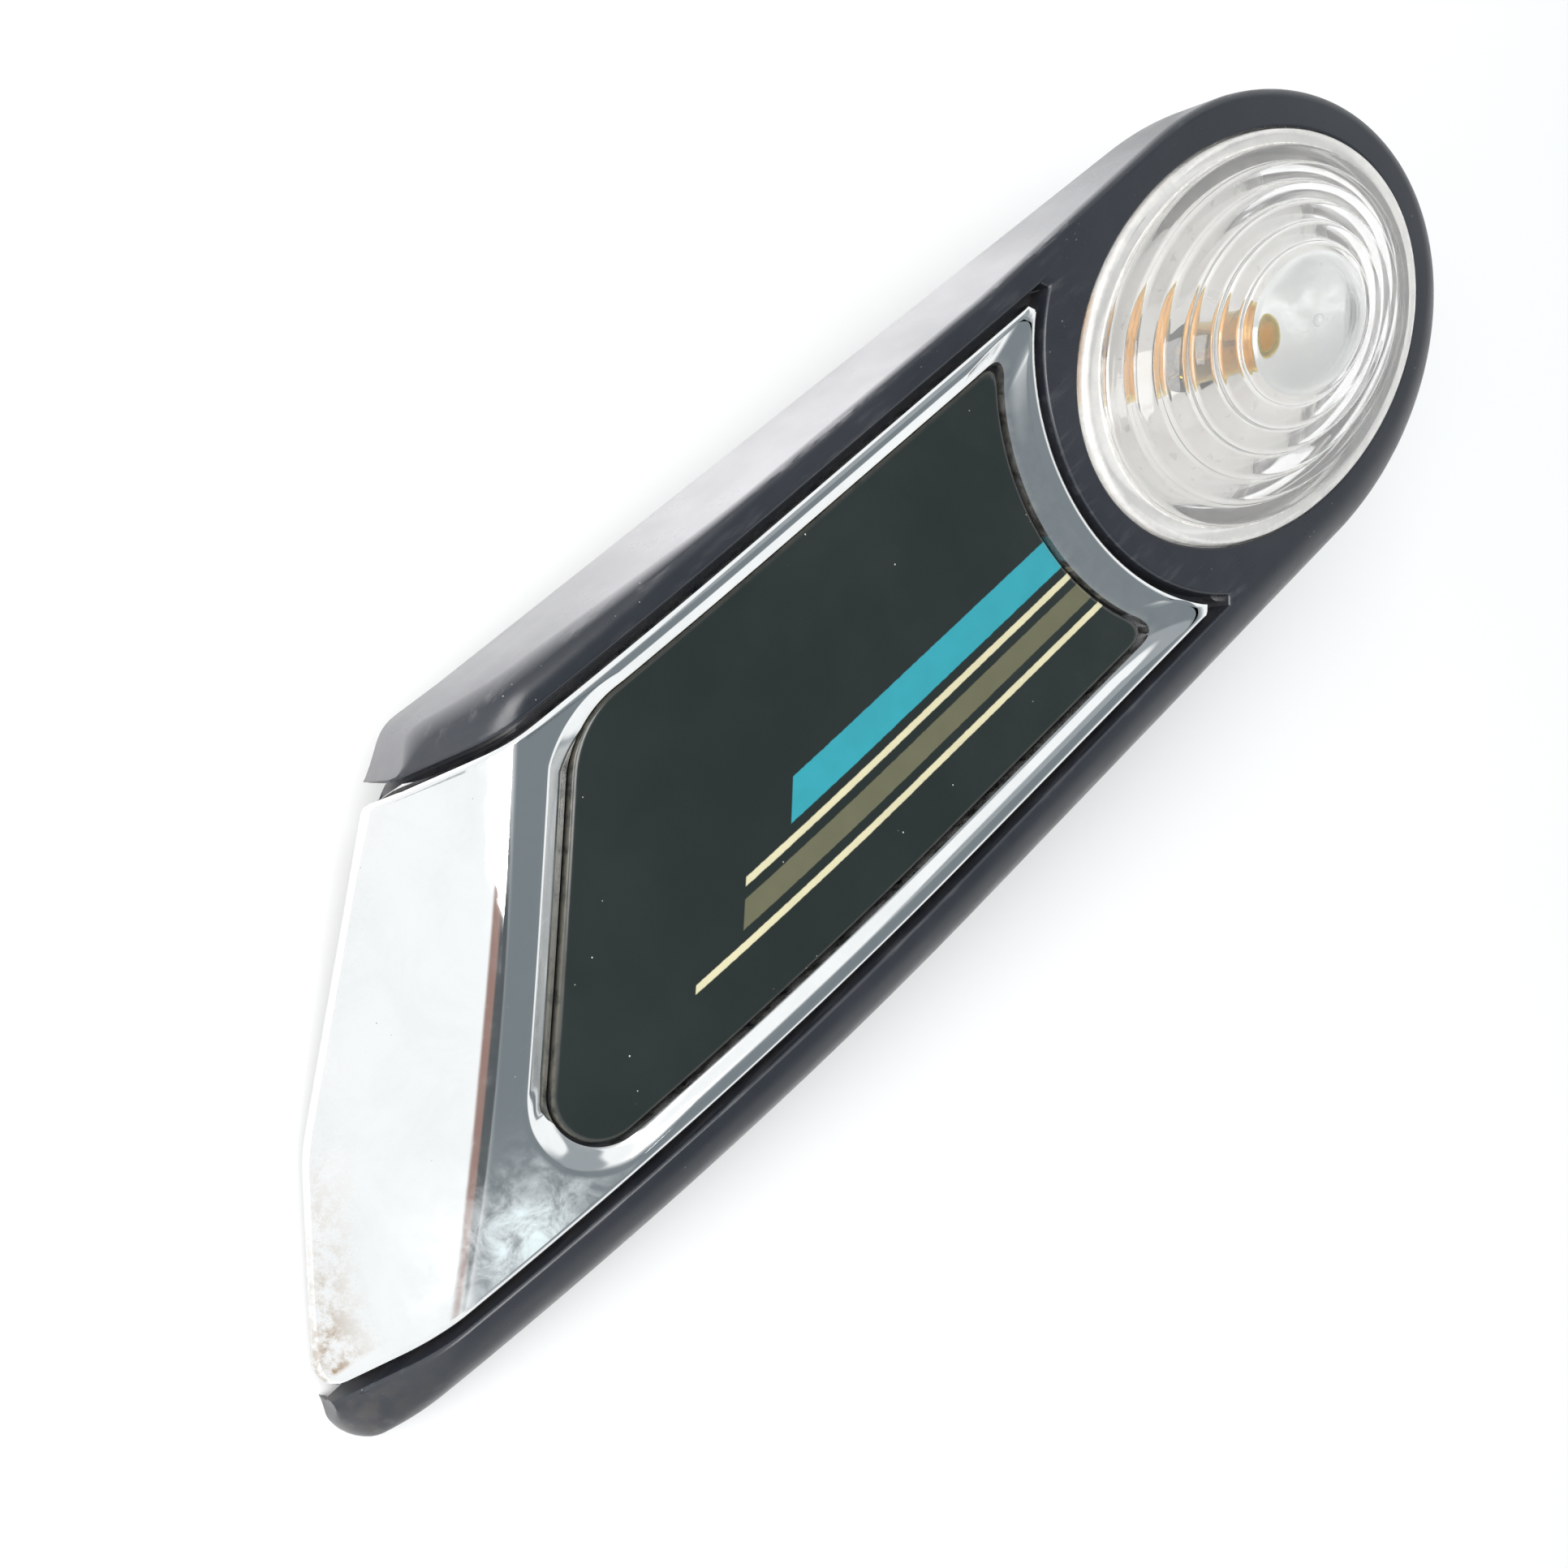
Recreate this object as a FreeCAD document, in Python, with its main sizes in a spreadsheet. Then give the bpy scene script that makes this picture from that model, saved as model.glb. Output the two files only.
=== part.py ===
import FreeCAD, Part
import math
import os

# Side repeater lamp in a fender trim.
# Frame: +X towards the lens end, +Y towards the upper rim, +Z out of the face.
# The origin is midway between the two locating studs, in the plane of their
# shoulders. All lengths are in millimetres.

V = FreeCAD.Vector
doc = FreeCAD.newDocument("side_repeater")

# ---------------------------------------------------------------- dimensions
sheet = doc.addObject("Spreadsheet::Sheet", "Dims")
DIMS = [
    ("face_height", 13.0),      # inlay face above the stud shoulders
    ("bow_radius", 325.0),      # lengthwise bow of the rear half
    ("bow_start", -6.0),        # where the bow begins
    ("rim_rise", 1.4),          # rim, deck and frame above the inlay face
    ("floor_depth", 2.0),       # carrier floor below the inlay face
    ("floor_thick", 2.2),
    ("wall_thick", 2.2),
    ("upper_wall", 28.6),       # outer face of the upper skirt
    ("lower_wall", 31.0),       # outer face of the lower skirt
    ("nose_length", 39.5),      # front half oval of the carrier
    ("shoulder_radius", 2.0),
    ("crease_radius", 6.0),
    ("groove_gap", 1.1),        # shadow gap round the frame
    ("frame_upper", 22.5),
    ("frame_lower", 23.4),
    ("inlay_upper", 19.5),
    ("inlay_lower", 19.6),
    ("inlay_thick", 1.4),
    ("inlay_gap", 0.25),
    ("cove_width", 1.0),
    ("lens_centre", 71.5),
    ("lens_major", 33.1),
    ("lens_minor", 23.3),
    ("lens_gap", 0.25),
    ("lens_flange", 1.8),
    ("flange_low", 9.2),
    ("flange_top", 11.2),
    ("deck_under", 12.2),
    ("lens_rim_top", 15.2),
    ("seat_offset", 0.3),       # skirt edge height at the origin
    ("seat_slope", 0.074),
    ("stud_radius", 3.0),
    ("stud_length", 12.0),
    ("stud_spacing", 56.0),
    ("boss_radius", 6.0),
    ("blade_width", 8.0),
    ("blade_thick", 1.6),
    ("clip_width", 7.0),
    ("clip_thick", 0.6),
    ("bulb_radius", 5.1),
    ("bulb_tip", 15.4),
    ("glass_thick", 0.6),
    ("neck_radius", 9.1),
    ("holder_radius", 8.7),
    ("holder_flange", 13.5),
    ("screw_radius", 1.5),
    ("screw_head", 3.0),
    ("pin_radius", 1.2),
    ("nut_radius", 3.6),
]
for i, (name, value) in enumerate(DIMS, start=1):
    sheet.set("A%d" % i, name)
    sheet.set("B%d" % i, str(value))
    sheet.setAlias("B%d" % i, name)
doc.recompute()


def dim(name):
    return float(sheet.get(name))


FACE = dim("face_height")
BOW = dim("bow_radius")
X0 = dim("bow_start")
CX = dim("lens_centre")

# ------------------------------------------------------------- plan outlines
# An outline is a list of ("line", p, q), ("arc", p, mid, q) or
# ("ellipse", ...) items, closed, run anticlockwise.


def unit(ax, ay):
    n = math.hypot(ax, ay)
    return ax / n, ay / n


def meet(p, d, q, e):
    """Where the line p + s d meets the line q + t e."""
    det = d[0] * -e[1] + e[0] * d[1]
    s = ((q[0] - p[0]) * -e[1] + e[0] * (q[1] - p[1])) / det
    return p[0] + s * d[0], p[1] + s * d[1]


def grow(points, amount):
    """An open polyline moved sideways to its right by amount."""
    lines = []
    for p, q in zip(points, points[1:]):
        d = unit(q[0] - p[0], q[1] - p[1])
        n = (d[1], -d[0])
        lines.append(((p[0] + n[0] * amount, p[1] + n[1] * amount), d,
                      (q[0] + n[0] * amount, q[1] + n[1] * amount)))
    out = [lines[0][0]]
    for a, b in zip(lines, lines[1:]):
        out.append(meet(a[0], a[1], b[0], b[1]))
    out.append(lines[-1][2])
    return out


def rounded(points, radii):
    """Items along an open polyline with its inner corners rounded."""
    items, start = [], points[0]
    for k in range(1, len(points) - 1):
        a, p, b = points[k - 1], points[k], points[k + 1]
        u = unit(a[0] - p[0], a[1] - p[1])
        w = unit(b[0] - p[0], b[1] - p[1])
        half = math.acos(max(-1.0, min(1.0, u[0] * w[0] + u[1] * w[1]))) / 2
        r = radii[k - 1]
        t = r / math.tan(half)
        s = (p[0] + u[0] * t, p[1] + u[1] * t)
        e = (p[0] + w[0] * t, p[1] + w[1] * t)
        bis = unit(u[0] + w[0], u[1] + w[1])
        c = (p[0] + bis[0] * r / math.sin(half), p[1] + bis[1] * r / math.sin(half))
        m = (c[0] - bis[0] * r, c[1] - bis[1] * r)
        items.append(("line", start, s))
        items.append(("arc", s, m, e))
        start = e
    items.append(("line", start, points[-1]))
    return items


def circle_through(a, b, c):
    ax, ay, bx, by, cx, cy = a + b + c
    d = 2 * (ax * (by - cy) + bx * (cy - ay) + cx * (ay - by))
    ux = ((ax**2 + ay**2) * (by - cy) + (bx**2 + by**2) * (cy - ay) + (cx**2 + cy**2) * (ay - by)) / d
    uy = ((ax**2 + ay**2) * (cx - bx) + (bx**2 + by**2) * (ax - cx) + (cx**2 + cy**2) * (bx - ax)) / d
    return (ux, uy), math.hypot(ax - ux, ay - uy)


def carrier_outline(inset):
    """The skirt's plan: straight sides, oval nose, slanted tail."""
    up, lo = dim("upper_wall"), -dim("lower_wall")
    tail = [(CX, up), (-52.6, up), (-56.2, 24.2), (-82.0, -2.2), (-97.6, -22.5),
            (-96.2, lo), (CX, lo)]
    # the polyline runs anticlockwise, so its right-hand side is outside
    line = grow(tail, -inset)
    items = rounded(line, [max(0.6, 4.5 - inset), 2.0, 26.0, max(0.6, 5.0 - inset), max(0.6, 7.0 - inset)])
    mid_y = (up + lo) / 2
    semi = (up - lo) / 2 - inset
    items.append(("ellipse", (CX, mid_y), dim("nose_length") - inset, semi))
    return items


HORN_C, HORN_R = circle_through((42.6, 21.6), (33.3, -0.4), (43.9, -22.4))


def frame_outline(out):
    """The plated frame's plan: two horns, a hollow front edge, a slanted tail."""
    up, lo = dim("frame_upper") + out, -dim("frame_lower") - out
    r = HORN_R - out

    def edge_x(y):
        return HORN_C[0] - math.sqrt(r * r - (y - HORN_C[1]) ** 2)

    tip_u = (edge_x(up - 1.0), up - 1.0)
    tip_l = (edge_x(lo + 1.0), lo + 1.0)
    flare = grow([(-42.0, dim("frame_upper")), (-55.2, dim("frame_upper") + 1.5),
                  (-81.1, -2.3), (-95.0, -21.2), (-95.6, -dim("frame_lower")),
                  (-80.0, -dim("frame_lower"))], out)
    path = [(tip_u[0] - 0.8, up), (-42.0, up)] + flare[1:-1] + [(tip_l[0] - 0.8, lo)]
    items = rounded(path, [60.0, 1.2 + out, 30.0, 2.0 + out, 1.4 + out])
    items.append(("line", (tip_l[0] - 0.8, lo), tip_l))
    items.append(("arc", tip_l, (HORN_C[0] - r, HORN_C[1]), tip_u))
    items.append(("line", tip_u, (tip_u[0] - 0.8, up)))
    return items


INLAY_C, INLAY_R = circle_through((33.0, 17.5), (27.4, -0.1), (33.3, -17.5))


def inlay_outline(out):
    """The inlay's plan: slanted rear edge, hollow front edge, round corners."""
    up, lo = dim("inlay_upper") + out, -dim("inlay_lower") - out
    r = INLAY_R - out

    def edge_x(y):
        return INLAY_C[0] - math.sqrt(r * r - (y - INLAY_C[1]) ** 2)

    tip_u = (edge_x(up - 1.4), up - 1.4)
    tip_l = (edge_x(lo + 1.4), lo + 1.4)
    slant = grow([(-35.0, dim("inlay_upper")), (-67.4, -dim("inlay_lower"))], out)
    d = unit(slant[1][0] - slant[0][0], slant[1][1] - slant[0][1])
    a = meet(slant[0], d, (0.0, up), (1.0, 0.0))
    b = meet(slant[0], d, (0.0, lo), (1.0, 0.0))
    items = rounded([(tip_u[0] - 0.9, up), a, b, (tip_l[0] - 0.9, lo)], [12.0 + out, 5.5 + out])
    items.append(("line", (tip_l[0] - 0.9, lo), tip_l))
    items.append(("arc", tip_l, (INLAY_C[0] - r, INLAY_C[1]), tip_u))
    items.append(("line", tip_u, (tip_u[0] - 0.9, up)))
    return items


def plan_sketch(name, items):
    sk = doc.addObject("Sketcher::SketchObject", name)
    for it in items:
        if it[0] == "line":
            sk.addGeometry(Part.LineSegment(V(*it[1], 0), V(*it[2], 0)), False)
        elif it[0] == "arc":
            sk.addGeometry(Part.Arc(V(*it[1], 0), V(*it[2], 0), V(*it[3], 0)), False)
        else:
            ell = Part.Ellipse(V(*it[1], 0), it[2], it[3])
            sk.addGeometry(Part.ArcOfEllipse(ell, -math.pi / 2, math.pi / 2), False)
    return sk


def ellipse_sketch(name, major, minor):
    sk = doc.addObject("Sketcher::SketchObject", name)
    sk.addGeometry(Part.Ellipse(V(CX, 0, 0), major, minor), False)
    return sk


def prism(name, sketch, top=40.0, below=40.0):
    ex = doc.addObject("Part::Extrusion", name)
    ex.Base = sketch
    ex.DirMode = "Custom"
    ex.Dir = V(0, 0, 1)
    ex.LengthFwd = top
    ex.LengthRev = below
    ex.Solid = True
    return ex


def cut(name, base, tool):
    ob = doc.addObject("Part::Cut", name)
    ob.Base, ob.Tool = base, tool
    return ob


def common(name, a, b):
    ob = doc.addObject("Part::MultiCommon", name)
    ob.Shapes = [a, b]
    return ob


def fuse(name, parts):
    ob = doc.addObject("Part::MultiFuse", name)
    ob.Shapes = parts
    ob.Refine = True
    return ob


# ------------------------------------------- the bowed face and its rear crease
def bow_z(x, lift):
    if x > X0:
        return FACE + lift
    return FACE - BOW + math.sqrt((BOW + lift) ** 2 - (x - X0) ** 2)


CREASE_A = V(-43.2, 23.0, bow_z(-43.2, dim("rim_rise")))
CREASE_B = V(-83.4, -23.0, bow_z(-83.4, dim("rim_rise")))
ALONG = (CREASE_B - CREASE_A).normalize()
DOWN = V(-11.7, 0.5, -11.0)
DOWN = (DOWN - ALONG * DOWN.dot(ALONG)).normalize()
OUT = ALONG.cross(DOWN)
if OUT.z < 0:
    OUT = OUT * -1
OUT.normalize()
CREASE_MID = (CREASE_A + CREASE_B) * 0.5


def under_face(name, lift):
    """Everything below the bowed face moved out by lift, with the rear slope."""
    sk = doc.addObject("Sketcher::SketchObject", name + "_profile")
    sk.Placement = FreeCAD.Placement(V(0, 60, 0), FreeCAD.Rotation(V(1, 0, 0), 90))
    end = -125.0
    mid = (X0 + end) / 2
    sk.addGeometry(Part.LineSegment(V(130, FACE + lift, 0), V(X0, FACE + lift, 0)), False)
    sk.addGeometry(Part.Arc(V(X0, FACE + lift, 0), V(mid, bow_z(mid, lift), 0), V(end, bow_z(end, lift), 0)), False)
    sk.addGeometry(Part.LineSegment(V(end, bow_z(end, lift), 0), V(end, -60, 0)), False)
    sk.addGeometry(Part.LineSegment(V(end, -60, 0), V(130, -60, 0)), False)
    sk.addGeometry(Part.LineSegment(V(130, -60, 0), V(130, FACE + lift, 0)), False)
    ex = doc.addObject("Part::Extrusion", name + "_block")
    ex.Base = sk
    ex.DirMode = "Custom"
    ex.Dir = V(0, -1, 0)
    ex.LengthFwd = 120.0
    ex.Solid = True
    # half space beyond the rear slope
    box = doc.addObject("Part::Box", name + "_slope")
    box.Length, box.Width, box.Height = 300, 300, 120
    rot = FreeCAD.Rotation(ALONG, OUT.cross(ALONG), OUT, "ZXY")
    base = CREASE_MID + OUT * (lift - dim("rim_rise"))
    corner = base - rot.multVec(V(150, 150, 0))
    box.Placement = FreeCAD.Placement(corner, rot)
    return cut(name + "_sharp", ex, box)


def round_crease(name, solid, lift):
    """Round the long edge between the bowed face and the rear slope."""
    doc.recompute()
    best = None
    for k, e in enumerate(solid.Shape.Edges, start=1):
        if len(e.Faces if hasattr(e, "Faces") else []) == 1:
            continue
        m = e.valueAt((e.FirstParameter + e.LastParameter) / 2)
        off = abs((m - CREASE_MID).dot(OUT) - (lift - dim("rim_rise")))
        top = abs(m.z - bow_z(m.x, lift))
        if off < 0.05 and top < 0.05 and (best is None or e.Length > best[1]):
            best = (k, e.Length)
    fil = doc.addObject("Part::Fillet", name)
    fil.Base = solid
    r = dim("crease_radius") + lift
    fil.Edges = [(best[0], r, r)]
    return fil


def face_solid(tag, lift):
    return round_crease("face_" + tag, under_face("face_" + tag, lift), lift)


FACE_RIM = face_solid("rim", dim("rim_rise"))
FACE_INLAY = face_solid("inlay", 0.0)
FACE_TAPE = face_solid("tape", -dim("inlay_thick"))
FACE_FLOOR = face_solid("floor", -dim("floor_depth"))
FACE_UNDER = face_solid("under", -dim("floor_depth") - dim("floor_thick"))
doc.recompute()

# ------------------------------------------------------------------- carrier
outer = prism("carrier_outer", plan_sketch("carrier_plan", carrier_outline(0.0)))
block = common("carrier_block", outer, FACE_RIM)
doc.recompute()

# the outer top edge, rounded: every edge that lies on the rounded face and
# on the outside wall, apart from the tail's end
wall_up, wall_lo = dim("upper_wall"), -dim("lower_wall")
nose_mid = (wall_up + wall_lo) / 2
nose_semi = (wall_up - wall_lo) / 2
picked = []
for k, e in enumerate(block.Shape.Edges, start=1):
    pts = [e.valueAt(e.FirstParameter + (e.LastParameter - e.FirstParameter) * f) for f in (0.1, 0.5, 0.9)]

    def on_wall(p):
        if p.x > CX:
            q = ((p.x - CX) / dim("nose_length")) ** 2 + ((p.y - nose_mid) / nose_semi) ** 2
            return abs(q - 1) < 0.004
        return abs(p.y - wall_up) < 0.01 or abs(p.y - wall_lo) < 0.01

    if all(on_wall(p) and p.z > -2 for p in pts) and max(p.z for p in pts) - min(p.z for p in pts) < 16:
        if e.Length > 1.0 and not (abs(pts[0].x - pts[2].x) < 1e-6 and abs(pts[0].y - pts[2].y) < 1e-6):
            picked.append(k)
shoulders = doc.addObject("Part::Fillet", "carrier_shoulders")
shoulders.Base = block
rs = dim("shoulder_radius")
shoulders.Edges = [(k, rs, rs) for k in picked]
doc.recompute()

hollow = common("carrier_hollow", prism("carrier_inner", plan_sketch("carrier_inner_plan", carrier_outline(dim("wall_thick")))), FACE_UNDER)
shell = cut("carrier_shell", shoulders, hollow)
recess = cut("frame_recess", prism("recess_prism", plan_sketch("recess_plan", frame_outline(dim("groove_gap")))), FACE_FLOOR)
shell2 = cut("carrier_recessed", shell, recess)
lamp_hole = prism("lamp_hole", ellipse_sketch("lamp_hole_plan", dim("lens_major") + dim("lens_gap"), dim("lens_minor") + dim("lens_gap")))
shell3 = cut("carrier_holed", shell2, lamp_hole)
pocket = prism("lamp_pocket", ellipse_sketch("lamp_pocket_plan", dim("lens_major") + 2.5, dim("lens_minor") + 2.5), 1.0, 40.0)
pocket.setExpression("LengthFwd", "Dims.deck_under")
shell4 = cut("carrier_pocketed", shell3, pocket)

# the skirt's lower edge follows the fender, closer to the face at the nose
angle = math.degrees(math.atan(dim("seat_slope")))
seat_rot = FreeCAD.Rotation(V(0, 1, 0), -angle)
seat_cut = doc.addObject("Part::Box", "seat_cut")
seat_cut.Length, seat_cut.Width, seat_cut.Height = 300, 120, 60
seat_cut.Placement = FreeCAD.Placement(V(0, 0, dim("seat_offset")) + seat_rot.multVec(V(-150, -60, -60)), seat_rot)
shell5 = cut("carrier_seated", shell4, seat_cut)

half = dim("stud_spacing") / 2
extras = []
for tag, x, sign in (("rear", -half, "-"), ("front", half, "")):
    boss = doc.addObject("Part::Cylinder", "boss_" + tag)
    boss.Radius, boss.Height = 6, 9.2
    boss.setExpression("Radius", "Dims.boss_radius")
    boss.Placement = FreeCAD.Placement(V(x, 0, 0), FreeCAD.Rotation())
    stud = doc.addObject("Part::Cylinder", "stud_" + tag)
    stud.setExpression("Radius", "Dims.stud_radius")
    stud.setExpression("Height", "Dims.stud_length")
    stud.Placement = FreeCAD.Placement(V(x, 0, -dim("stud_length")), FreeCAD.Rotation())
    for ob in (boss, stud):
        ob.setExpression("Placement.Base.x", sign + "Dims.stud_spacing / 2")
    extras += [boss, stud]
BLADES = [(-54.0, -6.0, 6.4), (9.0, 0.0, 9.9)]
BLADE_END = -9.0
for k, (x, y, top) in enumerate(BLADES):
    blade = doc.addObject("Part::Box", "blade_%d" % k)
    blade.Height = top - BLADE_END
    blade.setExpression("Length", "Dims.blade_width")
    blade.setExpression("Width", "Dims.blade_thick")
    blade.Placement = FreeCAD.Placement(V(x - dim("blade_width") / 2, y - dim("blade_thick") / 2, BLADE_END), FreeCAD.Rotation())
    extras.append(blade)
# stiffening ribs across the underside, between the studs and the blades
for k, (x, top) in enumerate(((-14.0, 9.6), (20.0, 9.9))):
    rib = doc.addObject("Part::Box", "rib_%d" % k)
    rib.Length, rib.Width, rib.Height = 1.6, dim("upper_wall") + dim("lower_wall") - 3.0, 4.0
    rib.Placement = FreeCAD.Placement(V(x - 0.8, -dim("lower_wall") + 1.5, top - 4.0), FreeCAD.Rotation())
    extras.append(rib)
shell6 = fuse("carrier_built", [shell5] + extras)

# screw pilot holes and the holes for the frame's pins
SCREWS = [(46.8, 22.2), (47.5, -22.6)]
PINS = [(2.0, 20.9), (30.0, 20.9), (2.0, -21.5), (30.0, -21.5)]
drills = []
for k, (x, y) in enumerate(SCREWS):
    d = doc.addObject("Part::Cylinder", "pilot_%d" % k)
    d.setExpression("Radius", "Dims.screw_radius + 0.05")
    d.Height = 9.0
    d.Placement = FreeCAD.Placement(V(x, y, 4.0), FreeCAD.Rotation())
    drills.append(d)
for k, (x, y) in enumerate(PINS):
    d = doc.addObject("Part::Cylinder", "pin_hole_%d" % k)
    d.setExpression("Radius", "Dims.pin_radius + 0.15")
    d.Height = 10.0
    d.Placement = FreeCAD.Placement(V(x, y, 4.0), FreeCAD.Rotation())
    drills.append(d)
carrier = cut("carrier", shell6, fuse("carrier_drills", drills))

# -------------------------------------------------------------- plated frame
frame_slab = cut("frame_slab", FACE_RIM, FACE_FLOOR)
frame_blank = common("frame_blank", prism("frame_prism", plan_sketch("frame_plan", frame_outline(0.0))), frame_slab)
window = prism("frame_window", plan_sketch("window_plan", inlay_outline(dim("inlay_gap"))))
frame_open = cut("frame_open", frame_blank, window)
ledge = cut("cove_ledge", prism("cove_prism", plan_sketch("cove_plan", inlay_outline(dim("inlay_gap") + dim("cove_width")))), FACE_INLAY)
# the tail flange ends just below the skirt's edge
tail_cut = doc.addObject("Part::Box", "tail_cut")
tail_cut.Length, tail_cut.Width, tail_cut.Height = 300, 120, 60
tail_cut.Placement = FreeCAD.Placement(V(0, 0, dim("seat_offset") - 2.0) + seat_rot.multVec(V(-150, -60, -60)), seat_rot)
frame_stepped = cut("frame_stepped", cut("frame_trimmed", frame_open, ledge), tail_cut)
pins = []
for k, (x, y) in enumerate(PINS):
    p = doc.addObject("Part::Cylinder", "frame_pin_%d" % k)
    p.setExpression("Radius", "Dims.pin_radius")
    p.Height = 7.0
    p.Placement = FreeCAD.Placement(V(x, y, 5.0), FreeCAD.Rotation())
    pins.append(p)
trim_frame = fuse("trim_frame", [frame_stepped] + pins)

# ------------------------------------------------------------ inlay and tape
inlay = common("inlay", prism("inlay_prism", plan_sketch("inlay_plan", inlay_outline(0.0))), cut("inlay_slab", FACE_INLAY, FACE_TAPE))
tape = common("inlay_tape", prism("tape_prism", plan_sketch("tape_plan", inlay_outline(-1.5))), cut("tape_slab", FACE_TAPE, FACE_FLOOR))


# ------------------------------------------------------------ lamp: body tools
def body(name):
    return doc.addObject("PartDesign::Body", name)


def plane_of(b, role):
    return next(o for o in b.Origin.OriginFeatures if o.Role == role)


def on_plane(b, name, role, height):
    sk = b.newObject("Sketcher::SketchObject", name)
    sk.AttachmentSupport = [(plane_of(b, role), "")]
    sk.MapMode = "FlatFace"
    sk.AttachmentOffset = FreeCAD.Placement(V(0, 0, height), FreeCAD.Rotation())
    return sk


def oval(b, name, major, minor, height):
    sk = on_plane(b, name, "XY_Plane", height)
    if abs(major - minor) < 1e-6:
        sk.addGeometry(Part.Circle(V(CX, 0, 0), V(0, 0, 1), major), False)
    else:
        sk.addGeometry(Part.Ellipse(V(CX, 0, 0), major, minor), False)
    return sk


def loft(b, name, rows, subtract=False):
    """A ruled loft through ovals given as (major, minor, height)."""
    sks = [oval(b, "%s_oval_%d" % (name, i), *r) for i, r in enumerate(rows)]
    ob = b.newObject("PartDesign::SubtractiveLoft" if subtract else "PartDesign::AdditiveLoft", name)
    ob.Profile = sks[0]
    ob.Sections = sks[1:]
    ob.Ruled = True
    doc.recompute()
    return ob


def pad(b, name, sk, length, expr=None):
    p = b.newObject("PartDesign::Pad", name)
    p.Profile = sk
    p.Length = length
    if expr:
        p.setExpression("Length", expr)
    doc.recompute()
    return p


def pocket_up(b, name, sk, length):
    """A pocket cut from the sketch towards +Z."""
    before = b.Shape.Volume
    p = b.newObject("PartDesign::Pocket", name)
    p.Profile = sk
    p.Length = length
    p.Reversed = True
    doc.recompute()
    if before - b.Shape.Volume < 1e-6:
        raise RuntimeError(name + " cuts nothing")
    return p


A, B = dim("lens_major"), dim("lens_minor")

# ---------------------------------------------------------------------- lens
# Oval rings that step up towards a smooth middle, as shares of the rim's size.
RINGS = [  # (share at the foot, share at the top, foot height, top height)
    (0.915, 0.905, 15.2, 16.2),
    (0.825, 0.795, 16.2, 17.9),
    (0.715, 0.685, 17.9, 19.5),
    (0.605, 0.575, 19.5, 21.0),
    (0.495, 0.465, 21.0, 22.3),
    (0.390, 0.372, 22.3, 23.1),
]
lens = body("lens")
pad(lens, "lens_flange_pad", oval(lens, "lens_flange_oval", A + dim("lens_flange"), B + dim("lens_flange"), dim("flange_low")), 2.0, "Dims.flange_top - Dims.flange_low")
pad(lens, "lens_wall_pad", oval(lens, "lens_wall_oval", A, B, dim("flange_low") + 0.5), 5.5, "Dims.lens_rim_top - Dims.flange_low - 0.5")
for i, (s0, s1, z0, z1) in enumerate(RINGS):
    loft(lens, "lens_ring_%d" % i, [(A * s0, B * s0, z0 - 0.5), (A * s0, B * s0, z0), (A * s1, B * s1, z1)])
dome = [(0.335, 0.335, 22.6), (0.335, 0.335, 23.1), (0.300, 0.300, 23.75), (0.235, 0.235, 24.3), (0.150, 0.150, 24.65), (0.060, 0.060, 24.8)]
loft(lens, "lens_middle", [(A * p, B * q, z) for p, q, z in dome])
loft(lens, "lens_inside", [(A - 2.2, B - 2.2, 9.0), (A - 2.6, B - 2.6, 12.6), (A * 0.70, B * 0.70, 16.4), (A * 0.50, B * 0.50, 18.9), (A * 0.30, B * 0.30, 21.0), (A * 0.12, B * 0.12, 21.9)], True)

gasket = body("lens_gasket")
pad(gasket, "gasket_pad", oval(gasket, "gasket_outer", A + dim("lens_flange"), B + dim("lens_flange"), dim("flange_top")), 1.0, "Dims.deck_under - Dims.flange_top")
pocket_up(gasket, "gasket_opening", oval(gasket, "gasket_inner", A + 0.5, B + 0.5, dim("flange_top")), 5.0)

# -------------------------------------------------------------- lamp housing
housing = body("lamp_housing")
pad(housing, "housing_rim", oval(housing, "housing_rim_oval", A + dim("lens_flange"), B + dim("lens_flange"), 7.2), 2.0)
loft(housing, "housing_bowl", [(17.0, 15.0, -9.0), (A + 0.3, B + 0.3, 7.2), (A + 0.3, B + 0.3, 8.0)])
pad(housing, "housing_neck", oval(housing, "housing_neck_oval", 12.2, 12.2, -12.0), 4.0)
for k, (x, y) in enumerate(SCREWS):
    sk = on_plane(housing, "lug_plan_%d" % k, "XY_Plane", 6.8)
    d = unit(CX - x, -y)
    n = (-d[1], d[0])
    far = (x + d[0] * 6.5, y + d[1] * 6.5)
    r = 3.2
    p1 = V(x + n[0] * r, y + n[1] * r, 0)
    p2 = V(x - n[0] * r, y - n[1] * r, 0)
    q1 = V(far[0] + n[0] * r, far[1] + n[1] * r, 0)
    q2 = V(far[0] - n[0] * r, far[1] - n[1] * r, 0)
    sk.addGeometry(Part.LineSegment(p2, q2), False)
    sk.addGeometry(Part.LineSegment(q2, q1), False)
    sk.addGeometry(Part.LineSegment(q1, p1), False)
    sk.addGeometry(Part.Arc(p1, V(x - d[0] * r, y - d[1] * r, 0), p2), False)
    pad(housing, "lug_%d" % k, sk, 2.0)
    hole = on_plane(housing, "lug_hole_%d" % k, "XY_Plane", 6.0)
    hole.addGeometry(Part.Circle(V(x, y, 0), V(0, 0, 1), dim("screw_radius") + 0.3), False)
    pocket_up(housing, "lug_drill_%d" % k, hole, 4.0)
loft(housing, "housing_inside", [(15.4, 13.4, -7.2), (A - 1.0, B - 1.0, 8.2), (A - 1.0, B - 1.0, 9.4)], True)
pocket_up(housing, "housing_mouth", oval(housing, "mouth_circle", dim("neck_radius"), dim("neck_radius"), -12.5), 6.5)

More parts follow.
